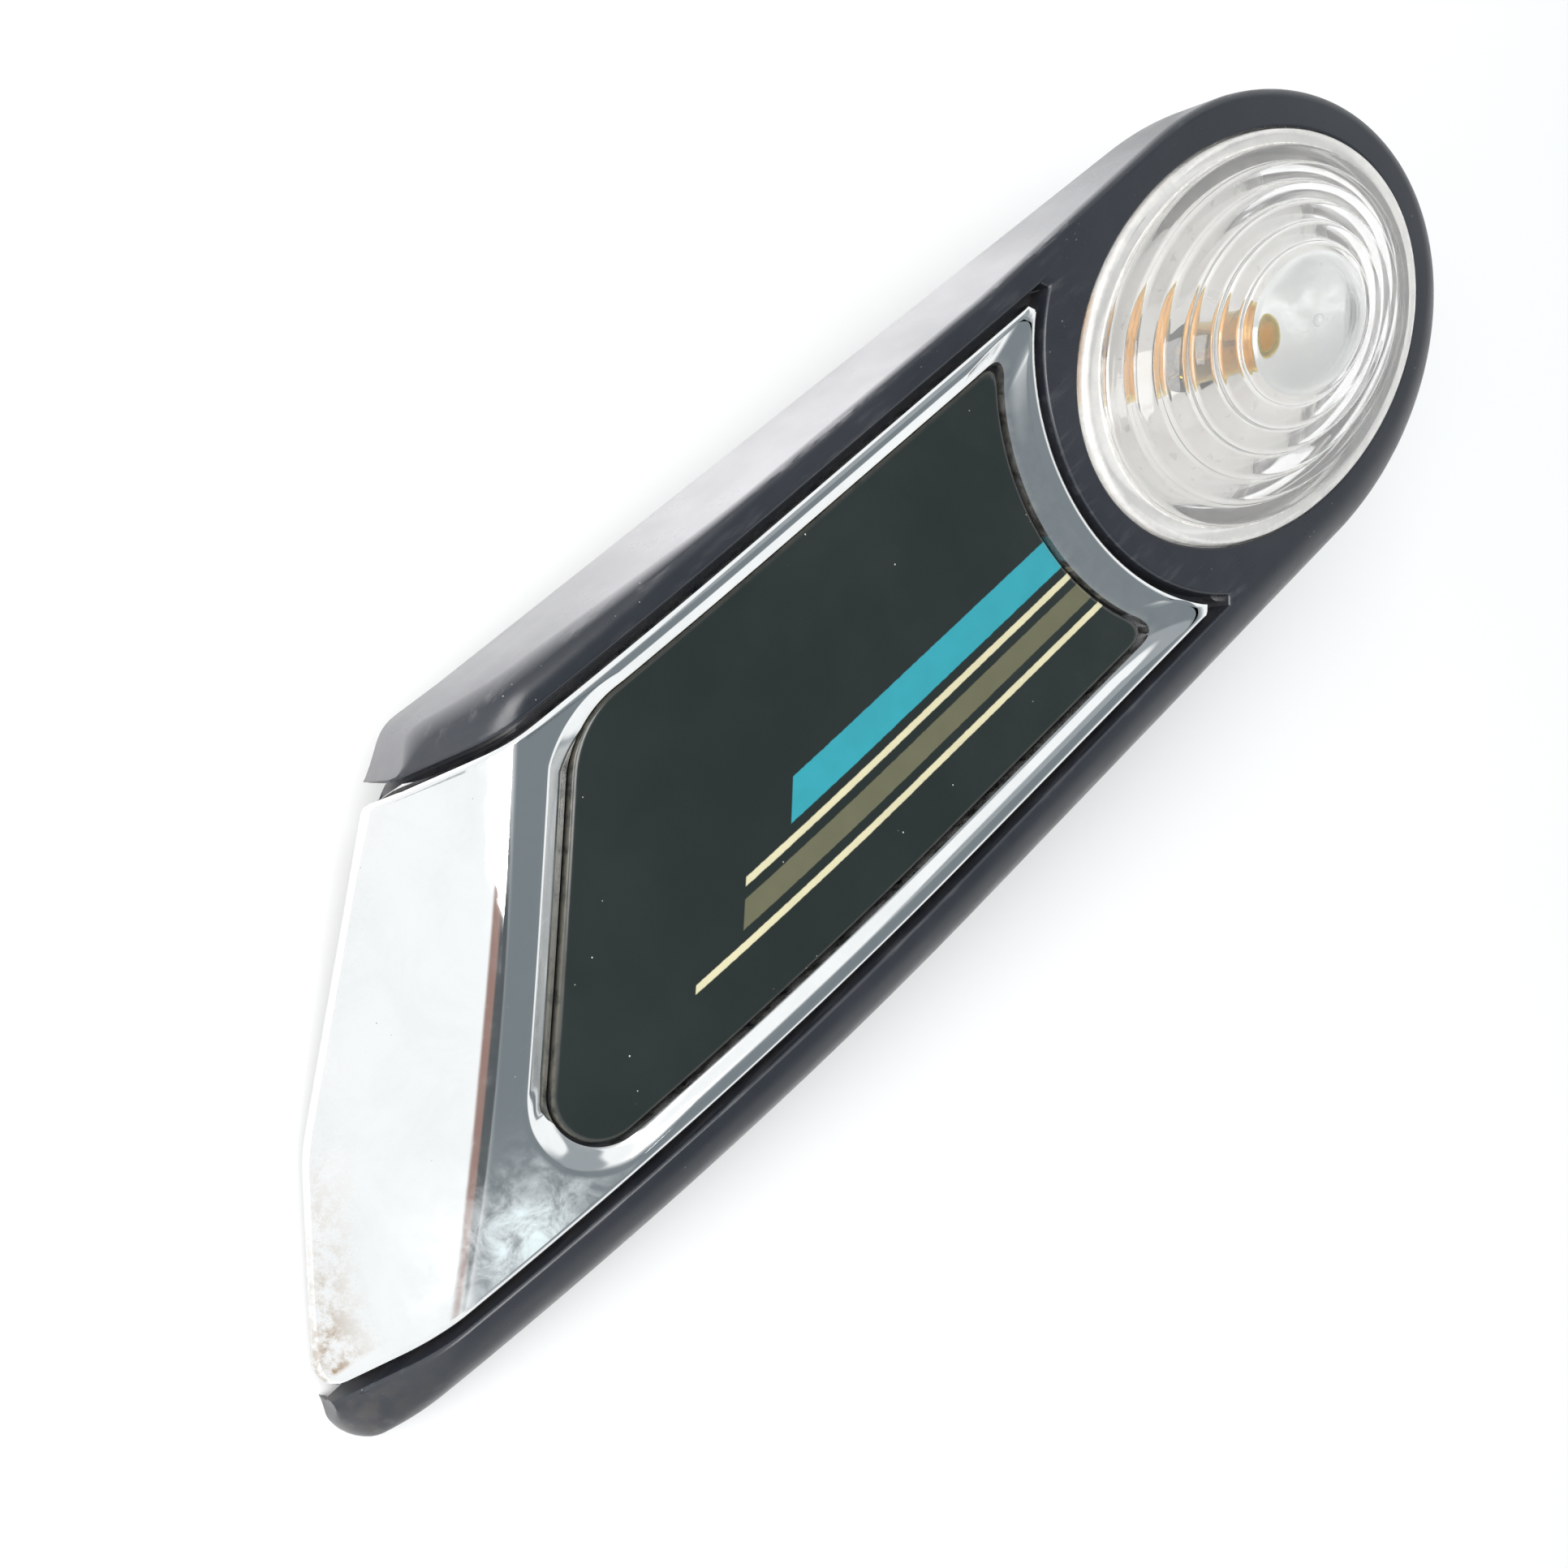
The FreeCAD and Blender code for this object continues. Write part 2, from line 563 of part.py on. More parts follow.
# ----------------------------------------------------------------- reflector
reflector = body("reflector")
loft(reflector, "reflector_bowl", [(14.9, 12.9, -7.2), (A - 1.5, B - 1.5, 8.2), (A - 1.5, B - 1.5, 9.0)])
loft(reflector, "reflector_inside", [(13.7, 11.7, -6.0), (A - 2.7, B - 2.7, 8.2), (A - 2.7, B - 2.7, 9.6)], True)
pocket_up(reflector, "reflector_mouth", oval(reflector, "reflector_circle", 6.4, 6.4, -8.0), 4.0)

# ---------------------------------------------------------------------- bulb
# Amber wedge bulb: round tip, straight barrel, flat solid wedge at the foot.
bulb = body("bulb_glass")
br, bt, tip = dim("bulb_radius"), dim("glass_thick"), dim("bulb_tip")
sk = on_plane(bulb, "bulb_profile", "XZ_Plane", 0.0)


def profile(points_arcs):
    for it in points_arcs:
        if len(it) == 2:
            sk.addGeometry(Part.LineSegment(V(CX + it[0][0], it[0][1], 0), V(CX + it[1][0], it[1][1], 0)), False)
        else:
            sk.addGeometry(Part.Arc(*[V(CX + p[0], p[1], 0) for p in it]), False)


c45 = math.sqrt(0.5)
ri = br - bt
profile([
    ((0.0, tip), (br * c45, tip - br + br * c45), (br, tip - br)),
    ((br, tip - br), (br, -4.5)),
    ((br, -4.5), (2.5, -7.6)),
    ((2.5, -7.6), (2.5, -9.0)),
    ((2.5, -9.0), (0.0, -9.0)),
    ((0.0, -9.0), (0.0, -6.6)),
    ((0.0, -6.6), (1.9, -6.6)),
    ((1.9, -6.6), (ri, -4.3)),
    ((ri, -4.3), (ri, tip - br)),
    ((ri, tip - br), (ri * c45, tip - br + ri * c45), (0.0, tip - bt)),
    ((0.0, tip - bt), (0.0, tip)),
])
axis = on_plane(bulb, "bulb_axis", "XZ_Plane", 0.0)
axis.addGeometry(Part.LineSegment(V(CX, -20, 0), V(CX, 20, 0)), False)
rev = bulb.newObject("PartDesign::Revolution", "bulb_turned")
rev.Profile = sk
rev.ReferenceAxis = (axis, ["Edge1"])
rev.Angle = 360
doc.recompute()
wedge = on_plane(bulb, "wedge_plan", "XY_Plane", -17.0)
for p, q in (((-4.7, -1.3), (4.7, -1.3)), ((4.7, -1.3), (4.7, 1.3)), ((4.7, 1.3), (-4.7, 1.3)), ((-4.7, 1.3), (-4.7, -1.3))):
    wedge.addGeometry(Part.LineSegment(V(CX + p[0], p[1], 0), V(CX + q[0], q[1], 0)), False)
pad(bulb, "wedge", wedge, 8.4)
wires = on_plane(bulb, "wire_holes", "XY_Plane", -18.0)
for s in (-1, 1):
    wires.addGeometry(Part.Circle(V(CX + 1.9 * s, 0, 0), V(0, 0, 1), 0.30), False)
pocket_up(bulb, "wire_channels", wires, 12.0)

filament = doc.addObject("Part::Cylinder", "bulb_filament")
filament.Radius, filament.Height = 0.4, 3.2
filament.Placement = FreeCAD.Placement(V(CX - 1.6, 0, 4.0), FreeCAD.Rotation(V(0, 1, 0), 90))

leads = []
for tag, s in (("left", -1), ("right", 1)):
    long_wire = doc.addObject("Part::Cylinder", "lead_long_" + tag)
    long_wire.Radius, long_wire.Height = 0.28, 22.4
    long_wire.Placement = FreeCAD.Placement(V(CX + 1.9 * s, 0, -17.6), FreeCAD.Rotation())
    foot = doc.addObject("Part::Box", "lead_foot_" + tag)
    foot.Length, foot.Width, foot.Height = 0.56, 1.6 + 0.28, 0.5
    foot.Placement = FreeCAD.Placement(V(CX + 1.9 * s - 0.28, -0.28 if s > 0 else -1.6, -17.6), FreeCAD.Rotation())
    fold = doc.addObject("Part::Box", "lead_fold_" + tag)
    fold.Length, fold.Width, fold.Height = 0.56, 0.3, 6.0
    fold.Placement = FreeCAD.Placement(V(CX + 1.9 * s - 0.28, 1.3 if s > 0 else -1.6, -17.6), FreeCAD.Rotation())
    leads += [fuse("lead_" + tag, [long_wire, foot, fold])]
bulb_leads = doc.addObject("Part::Compound", "bulb_leads")
bulb_leads.Links = leads

# --------------------------------------------------------------- bulb holder
# Quarter-turn holder: plug, flange, grip and the connector's inlet at its tail.
holder = body("bulb_holder")
pad(holder, "holder_plug", oval(holder, "plug_circle", dim("holder_radius"), dim("holder_radius"), -15.0), 7.2)
pad(holder, "holder_disc", oval(holder, "disc_circle", dim("holder_flange"), dim("holder_flange"), -16.0), 2.0)


def rect(b, name, x0, y0, x1, y1, height):
    s = on_plane(b, name, "XY_Plane", height)
    c = [(x0, y0), (x1, y0), (x1, y1), (x0, y1)]
    for p, q in zip(c, c[1:] + c[:1]):
        s.addGeometry(Part.LineSegment(V(CX + p[0], p[1], 0), V(CX + q[0], q[1], 0)), False)
    return s


pad(holder, "holder_shroud", rect(holder, "shroud_plan", -8.5, -5.6, 8.5, 5.6, -32.0), 16.5)
pad(holder, "holder_grip", rect(holder, "grip_plan", -11.5, -1.2, 11.5, 1.2, -25.0), 9.5)
pocket_up(holder, "inlet", rect(holder, "inlet_plan", -6.7, -3.8, 6.7, 3.8, -32.5), 12.5)
pocket_up(holder, "bulb_slot", rect(holder, "slot_plan", -5.0, -2.6, 5.0, 2.6, -18.0), 12.0)
slits = on_plane(holder, "slit_plan", "XY_Plane", -20.5)
for s in (-1, 1):
    x0, x1 = 1.9 * s - 1.4, 1.9 * s + 1.4
    y0, y1 = (1.6, 2.2) if s > 0 else (-2.2, -1.6)
    c = [(x0, y0), (x1, y0), (x1, y1), (x0, y1)]
    for p, q in zip(c, c[1:] + c[:1]):
        slits.addGeometry(Part.LineSegment(V(CX + p[0], p[1], 0), V(CX + q[0], q[1], 0)), False)
pocket_up(holder, "terminal_slits", slits, 3.0)

seal = doc.addObject("Part::Cut", "holder_seal")
ring_out = doc.addObject("Part::Cylinder", "seal_outer")
ring_out.Radius, ring_out.Height = 12.0, 2.0
ring_in = doc.addObject("Part::Cylinder", "seal_inner")
ring_in.Radius, ring_in.Height = 9.0, 2.0
for ob in (ring_out, ring_in):
    ob.Placement = FreeCAD.Placement(V(CX, 0, -14.0), FreeCAD.Rotation())
    ob.setExpression("Placement.Base.x", "Dims.lens_centre")
seal.Base, seal.Tool = ring_out, ring_in

strips = []
for tag, s in (("left", -1), ("right", 1)):
    strip = doc.addObject("Part::Box", "terminal_" + tag)
    strip.Length, strip.Width, strip.Height = 2.8, 0.6, 16.0
    strip.Placement = FreeCAD.Placement(V(CX + 1.9 * s - 1.4, 1.6 if s > 0 else -2.2, -27.0), FreeCAD.Rotation())
    strips.append(strip)
terminals = doc.addObject("Part::Compound", "terminals")
terminals.Links = strips

# ----------------------------------------------------------------- fasteners
screws = []
for k, (x, y) in enumerate(SCREWS):
    head = doc.addObject("Part::Cylinder", "screw_head_%d" % k)
    head.setExpression("Radius", "Dims.screw_head")
    head.Height = 2.0
    head.Placement = FreeCAD.Placement(V(x, y, 4.8), FreeCAD.Rotation())
    drive_a = doc.addObject("Part::Box", "screw_slot_a_%d" % k)
    drive_a.Length, drive_a.Width, drive_a.Height = 3.4, 0.7, 1.2
    drive_a.Placement = FreeCAD.Placement(V(x - 1.7, y - 0.35, 4.8), FreeCAD.Rotation())
    drive_b = doc.addObject("Part::Box", "screw_slot_b_%d" % k)
    drive_b.Length, drive_b.Width, drive_b.Height = 0.7, 3.4, 1.2
    drive_b.Placement = FreeCAD.Placement(V(x - 0.35, y - 1.7, 4.8), FreeCAD.Rotation())
    slotted = cut("screw_slotted_%d" % k, cut("screw_slot_first_%d" % k, head, drive_a), drive_b)
    shank = doc.addObject("Part::Cylinder", "screw_shank_%d" % k)
    shank.setExpression("Radius", "Dims.screw_radius")
    shank.Height = 5.6
    shank.Placement = FreeCAD.Placement(V(x, y, 6.8), FreeCAD.Rotation())
    screws.append(fuse("screw_%d" % k, [slotted, shank]))
lamp_screws = doc.addObject("Part::Compound", "lamp_screws")
lamp_screws.Links = screws

nuts = []
NUT_TOP = FACE - dim("floor_depth") - dim("floor_thick")
for k, (x, y) in enumerate(PINS):
    disc = doc.addObject("Part::Cylinder", "nut_disc_%d" % k)
    disc.setExpression("Radius", "Dims.nut_radius")
    disc.Height = 0.8
    eye = doc.addObject("Part::Cylinder", "nut_eye_%d" % k)
    eye.setExpression("Radius", "Dims.pin_radius + 0.02")
    eye.Height = 0.8
    for ob in (disc, eye):
        ob.Placement = FreeCAD.Placement(V(x, y, NUT_TOP - 0.8), FreeCAD.Rotation())
    nuts.append(cut("nut_%d" % k, disc, eye))
push_nuts = doc.addObject("Part::Compound", "push_nuts")
push_nuts.Links = nuts

# spring clips: folded strip over the blade's end with two flared wings
clips = []
bt_half = dim("blade_thick") / 2
ct = dim("clip_thick")
for k, (x, y, top) in enumerate(BLADES):
    b = body("clip_%d" % k)
    sk = on_plane(b, "clip_section_%d" % k, "YZ_Plane", x - dim("clip_width") / 2)
    inner = [(-bt_half, BLADE_END + 11.0), (-bt_half, BLADE_END), (bt_half, BLADE_END), (bt_half, BLADE_END + 11.0)]
    right = [(bt_half + ct, BLADE_END + 11.0), (bt_half + ct, BLADE_END + 0.9), (bt_half + 3.4, BLADE_END + 4.6),
             (bt_half + 2.0, BLADE_END + 7.6), (bt_half + 2.6, BLADE_END + 7.9), (bt_half + 4.2, BLADE_END + 4.5),
             (bt_half + ct, BLADE_END - 0.6)]
    left = [(-px, pz) for px, pz in reversed(right)]
    ring = inner + right + left
    for p, q in zip(ring, ring[1:] + ring[:1]):
        sk.addGeometry(Part.LineSegment(V(y + p[0], p[1], 0), V(y + q[0], q[1], 0)), False)
    pad(b, "clip_pad_%d" % k, sk, 7.0, "Dims.clip_width")
    clips.append(b)
fender_clips = doc.addObject("Part::Compound", "fender_clips")
fender_clips.Links = clips

# foam strips inside the skirt's lower edge, on both long sides
seals = []
for tag, y0, y1 in (("upper", dim("upper_wall") - dim("wall_thick") - 2.4, dim("upper_wall") - dim("wall_thick")),
                    ("lower", -dim("lower_wall") + dim("wall_thick"), -dim("lower_wall") + dim("wall_thick") + 2.4)):
    b = body("seal_" + tag)
    sk = on_plane(b, "seal_section_" + tag, "XZ_Plane", -y1)
    xa, xb = -36.0, 17.0
    za, zb = dim("seat_offset") + dim("seat_slope") * xa, dim("seat_offset") + dim("seat_slope") * xb
    c = [(xa, za), (xb, zb), (xb, zb + 3.4), (xa, za + 3.4)]
    for p, q in zip(c, c[1:] + c[:1]):
        sk.addGeometry(Part.LineSegment(V(p[0], p[1], 0), V(q[0], q[1], 0)), False)
    pad(b, "seal_pad_" + tag, sk, y1 - y0)
    seals.append(b)
edge_seals = doc.addObject("Part::Compound", "edge_seals")
edge_seals.Links = seals

doc.recompute()

# ------------------------------------------------------------------- writing
NODES = [
    ("carrier", carrier), ("trim_frame", trim_frame), ("inlay", inlay), ("inlay_tape", tape),
    ("lens", lens), ("lens_gasket", gasket), ("lamp_housing", housing), ("reflector", reflector),
    ("bulb_glass", bulb), ("bulb_filament", filament), ("bulb_leads", bulb_leads),
    ("bulb_holder", holder), ("holder_seal", seal), ("terminals", terminals),
    ("lamp_screws", lamp_screws), ("push_nuts", push_nuts), ("fender_clips", fender_clips),
    ("edge_seals", edge_seals),
]
faults = []
for ob in doc.Objects:
    if "Invalid" in ob.State or "Error" in ob.State:
        faults.append("%s: %s" % (ob.Name, ob.State))
for name, ob in NODES:
    ob.Label = name
    if ob.Shape.isNull() or not ob.Shape.isValid() or not ob.Shape.Solids:
        faults.append("%s has no sound shape" % name)
if faults:
    raise RuntimeError("; ".join(faults))
os.makedirs("parts", exist_ok=True)
for name, ob in NODES:
    b = ob.Shape.BoundBox
    print("%-14s solids %d volume %9.1f box %7.1f %7.1f %7.1f to %7.1f %7.1f %7.1f" % (
        name, len(ob.Shape.Solids), ob.Shape.Volume, b.XMin, b.YMin, b.ZMin, b.XMax, b.YMax, b.ZMax))
    ob.Shape.exportStep("parts/%s.step" % name)
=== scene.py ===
import bpy, bmesh, math
import numpy as np
from mathutils import Matrix, Vector


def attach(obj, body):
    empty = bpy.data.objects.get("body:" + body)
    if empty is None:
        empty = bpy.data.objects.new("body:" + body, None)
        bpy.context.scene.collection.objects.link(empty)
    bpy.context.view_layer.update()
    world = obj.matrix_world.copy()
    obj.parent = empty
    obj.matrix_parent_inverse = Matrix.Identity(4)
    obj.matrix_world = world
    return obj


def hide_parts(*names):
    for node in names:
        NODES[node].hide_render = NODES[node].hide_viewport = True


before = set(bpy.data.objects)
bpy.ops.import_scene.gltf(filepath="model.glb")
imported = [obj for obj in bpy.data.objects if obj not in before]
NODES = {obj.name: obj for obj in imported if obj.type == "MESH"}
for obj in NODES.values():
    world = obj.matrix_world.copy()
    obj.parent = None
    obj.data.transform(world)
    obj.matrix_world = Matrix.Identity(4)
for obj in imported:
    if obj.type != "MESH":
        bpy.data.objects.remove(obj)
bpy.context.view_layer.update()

MM = 0.001

# ------------------------------------------------------------------ the face
# Lengths below are millimetres in the part's own frame.
FACE, BOW, X0, RISE = 13.0, 325.0, -6.0, 1.4
CX, LA, LB = 71.5, 33.1, 23.3


def bow(x, lift):
    x = np.asarray(x, float)
    q = np.minimum(x - X0, 0.0)
    return np.where(x > X0, FACE + lift, FACE - BOW + np.sqrt((BOW + lift) ** 2 - q * q))


CA = np.array([-43.2, 23.0, float(bow(-43.2, RISE))])
CB = np.array([-83.4, -23.0, float(bow(-83.4, RISE))])
AL = (CB - CA) / np.linalg.norm(CB - CA)
DN = np.array([-11.7, 0.5, -11.0])
DN = DN - AL * DN.dot(AL)
DN /= np.linalg.norm(DN)
OUT = np.cross(AL, DN)
OUT = OUT if OUT[2] > 0 else -OUT
CM = (CA + CB) / 2


def face(x, y, lift, k=2.4):
    """Height of the bowed face with its rounded rear crease."""
    x, y = np.asarray(x, float), np.asarray(y, float)
    a = bow(x, lift)
    b = CM[2] + ((lift - RISE) - OUT[0] * (x - CM[0]) - OUT[1] * (y - CM[1])) / OUT[2]
    h = np.maximum(k - np.abs(a - b), 0.0)
    return np.minimum(a, b) - h * h / (4 * k)


def skirt(x):
    return 0.3 + 0.074 * np.asarray(x, float)


# ------------------------------------------------------------ plan outlines
def unit(v):
    return v / np.linalg.norm(v)


def arc3(a, b, c, n):
    """n + 1 points on the arc from a through b to c."""
    a, b, c = (np.asarray(p, float) for p in (a, b, c))
    m = np.array([b - a, c - a]) * 2
    o = np.linalg.solve(m, [b.dot(b) - a.dot(a), c.dot(c) - a.dot(a)])
    t = [math.atan2(*(p - o)[::-1]) for p in (a, b, c)]
    s = (t[1] - t[0]) % (2 * math.pi)
    e = (t[2] - t[0]) % (2 * math.pi)
    if s > e:
        e -= 2 * math.pi
    w = np.linspace(0, e, n + 1) + t[0]
    r = np.linalg.norm(a - o)
    return o + r * np.c_[np.cos(w), np.sin(w)]


def rounded(points, radii, n=24):
    """A polyline whose inner corners are arcs."""
    p = [np.asarray(q, float) for q in points]
    out = [p[0][None]]
    for k in range(1, len(p) - 1):
        u, w = unit(p[k - 1] - p[k]), unit(p[k + 1] - p[k])
        half = math.acos(max(-1, min(1, float(u.dot(w))))) / 2
        r = radii[k - 1]
        t = r / math.tan(half)
        bis = unit(u + w)
        c = p[k] + bis * r / math.sin(half)
        out.append(arc3(p[k] + u * t, c - bis * r, p[k] + w * t, n))
    out.append(p[-1][None])
    return np.vstack(out)


def spread(poly, n, ends=True):
    """n points at even steps along a polyline."""
    poly = np.asarray(poly, float)
    d = np.r_[0, np.cumsum(np.linalg.norm(np.diff(poly, axis=0), axis=1))]
    s = np.linspace(0, d[-1], n if ends else n + 1)
    s = s if ends else s[:-1]
    return np.c_[np.interp(s, d, poly[:, 0]), np.interp(s, d, poly[:, 1])]


def meet(p, d, q, e):
    s = np.linalg.solve(np.c_[d, -np.asarray(e)], np.asarray(q) - np.asarray(p))[0]
    return np.asarray(p) + s * np.asarray(d)


def grow(points, amount):
    p = [np.asarray(q, float) for q in points]
    seg = []
    for a, b in zip(p, p[1:]):
        d = unit(b - a)
        n = np.array([d[1], -d[0]]) * amount
        seg.append((a + n, d, b + n))
    out = [seg[0][0]] + [meet(a[0], a[1], b[0], b[1]) for a, b in zip(seg, seg[1:])]
    return out + [seg[-1][2]]


def circle(a, b, c):
    a, b, c = (np.asarray(p, float) for p in (a, b, c))
    o = np.linalg.solve(np.array([b - a, c - a]) * 2, [b.dot(b) - a.dot(a), c.dot(c) - a.dot(a)])
    return o, float(np.linalg.norm(a - o))


HC, HR = circle((42.6, 21.6), (33.3, -0.4), (43.9, -22.4))
IC, IR = circle((33.0, 17.5), (27.4, -0.1), (33.3, -17.5))


def hollow(c, r, up, lo, drop, step):
    """The hollow front edge between two bevelled tips, from below to above."""
    def ex(y):
        return c[0] - math.sqrt(r * r - (y - c[1]) ** 2)
    tu, tl = np.array([ex(up - drop), up - drop]), np.array([ex(lo + drop), lo + drop])
    return (np.array([tl[0] - step, lo]), tl, np.array([c[0] - r, c[1]]), tu, np.array([tu[0] - step, up]))


def frame_sides(out):
    """Upper, rear, lower and front sides of the bright frame's plan, anticlockwise."""
    up, lo = 22.5 + out, -23.4 - out
    fl, tl, fm, tu, fu = hollow(HC, HR - out, up, lo, 1.0, 0.8)
    fan = grow([(-42.0, 22.5), (-55.2, 24.0), (-81.1, -2.3), (-94.4, -21.0), (-94.8, -23.4), (-80.0, -23.4)], out)
    a, b = fan[1], fan[4]
    r1, r2, r3 = max(0.25, 1.2 + out), max(0.4, 2.0 + out), max(0.4, 1.4 + out)
    path = rounded([fu, (-42.0, up)] + fan[1:5] + [fl], [60.0, r1, 30.0, r2, r3], 40)
    ia = int(np.argmin(np.linalg.norm(path - a, axis=1)))
    ib = int(np.argmin(np.linalg.norm(path - b, axis=1)))
    front = np.vstack([fl[None], arc3(tl, fm, tu, 160), fu[None]])
    return path[:ia + 1], path[ia:ib + 1], path[ib:], front


def inlay_sides(out):
    up, lo = 19.5 + out, -19.6 - out
    ru, rl = max(0.6, 2.7 + 0.5 * out), max(0.8, 3.6 + 0.5 * out)

    def ex(y):
        return IC[0] - math.sqrt((IR - out) ** 2 - (y - IC[1]) ** 2)
    cu, cl = np.array([ex(up), up]), np.array([ex(lo), lo])
    fu, fl = cu - (1.15 * ru, 0.0), cl - (1.15 * rl, 0.0)
    tu, tl = np.array([ex(up - ru), up - ru]), np.array([ex(lo + rl), lo + rl])
    fm = np.array([IC[0] - IR + out, IC[1]])
    q = np.linspace(0, 1, 30)[:, None]
    bend_l = fl * (1 - q) ** 2 + cl * 2 * q * (1 - q) + tl * q * q
    bend_u = tu * (1 - q) ** 2 + cu * 2 * q * (1 - q) + fu * q * q
    s0, s1 = grow([(-35.0, 19.5), (-67.4, -19.6)], out)
    a = meet(s0, s1 - s0, (0.0, up), (1.0, 0.0))
    b = meet(s0, s1 - s0, (0.0, lo), (1.0, 0.0))
    path = rounded([fu, a, b, fl], [12.0 + out, 5.5 + out], 60)
    ia = int(np.argmin(np.linalg.norm(path - a, axis=1)))
    ib = int(np.argmin(np.linalg.norm(path - b, axis=1)))
    front = np.vstack([bend_l[:-1], arc3(tl, fm, tu, 160)[:-1], bend_u])
    return path[:ia + 1], path[ia:ib + 1], path[ib:], front


COUNTS = (170, 130, 190, 120)


def loop(sides):
    return np.vstack([spread(s, n, ends=False) for s, n in zip(sides, COUNTS)])


# ------------------------------------------------------------- mesh making
class Build:
    def __init__(self):
        self.v, self.f, self.a = [], [], {}

    def add(self, pts, **attrs):
        i = len(self.v)
        pts = np.asarray(pts, float)
        self.v += [tuple(p) for p in pts]
        for k in set(self.a) | set(attrs):
            col = self.a.setdefault(k, [])
            col += [0.0] * (i - len(col))
            val = attrs.get(k, 0.0)
            col += list(np.broadcast_to(np.asarray(val, float), (len(pts),)))
        return np.arange(i, i + len(pts))

    def bridge(self, r, s, closed=True):
        n = len(r)
        for k in range(n if closed else n - 1):
            q = (k + 1) % n
            self.f.append((int(r[k]), int(r[q]), int(s[q]), int(s[k])))

    def grid(self, rows, closed=False):
        for r, s in zip(rows, rows[1:]):
            self.bridge(r, s, closed)

    def face(self, ids):
        self.f.append(tuple(int(i) for i in ids))

    def make(self, name, node_names, mat, sharp=38.0, fill=()):
        bm = bmesh.new()
        lay = {k: bm.verts.layers.float.new(k) for k in self.a}
        vs = []
        for i, p in enumerate(self.v):
            v = bm.verts.new((p[0] * MM, p[1] * MM, p[2] * MM))
            for k, l in lay.items():
                v[l] = self.a[k][i] if i < len(self.a[k]) else 0.0
            vs.append(v)
        bm.verts.ensure_lookup_table()
        for f in self.f:
            try:
                if len(set(f)) > 2:
                    bm.faces.new([vs[i] for i in dict.fromkeys(f)])
            except ValueError:
                pass
        for loops in fill:
            edges = []
            for ids in loops:
                for a, b in zip(ids, list(ids[1:]) + [ids[0]]):
                    if a == b:
                        continue
                    e = bm.edges.get((vs[a], vs[b])) or bm.edges.new((vs[a], vs[b]))
                    edges.append(e)
            bmesh.ops.triangle_fill(bm, use_beauty=True, use_dissolve=False, edges=list(dict.fromkeys(edges)))
        bmesh.ops.remove_doubles(bm, verts=bm.verts, dist=3e-6)
        bmesh.ops.dissolve_degenerate(bm, dist=1e-7, edges=bm.edges)
        bmesh.ops.recalc_face_normals(bm, faces=bm.faces)
        for f in bm.faces:
            f.smooth = True
        for e in bm.edges:
            e.smooth = not (len(e.link_faces) == 2 and e.calc_face_angle(0.0) > math.radians(sharp))
        open_edges = sum(1 for e in bm.edges if len(e.link_faces) != 2)
        me = bpy.data.meshes.new(name)
        bm.to_mesh(me)
        bm.free()
        ob = bpy.data.objects.new(name, me)
        bpy.context.scene.collection.objects.link(ob)
        me.materials.append(mat)
        w = ob.modifiers.new("weighted", "WEIGHTED_NORMAL")
        w.keep_sharp = True
        w.weight = 50
        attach(ob, "root")
        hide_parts(*node_names)
        print("PIECE", name, "faces", len(me.polygons), "edges not shared by two faces", open_edges)
        return ob


def at(p, z):
    p = np.asarray(p, float)
    return np.c_[p[:, 0], p[:, 1], np.broadcast_to(z, (len(p),))]


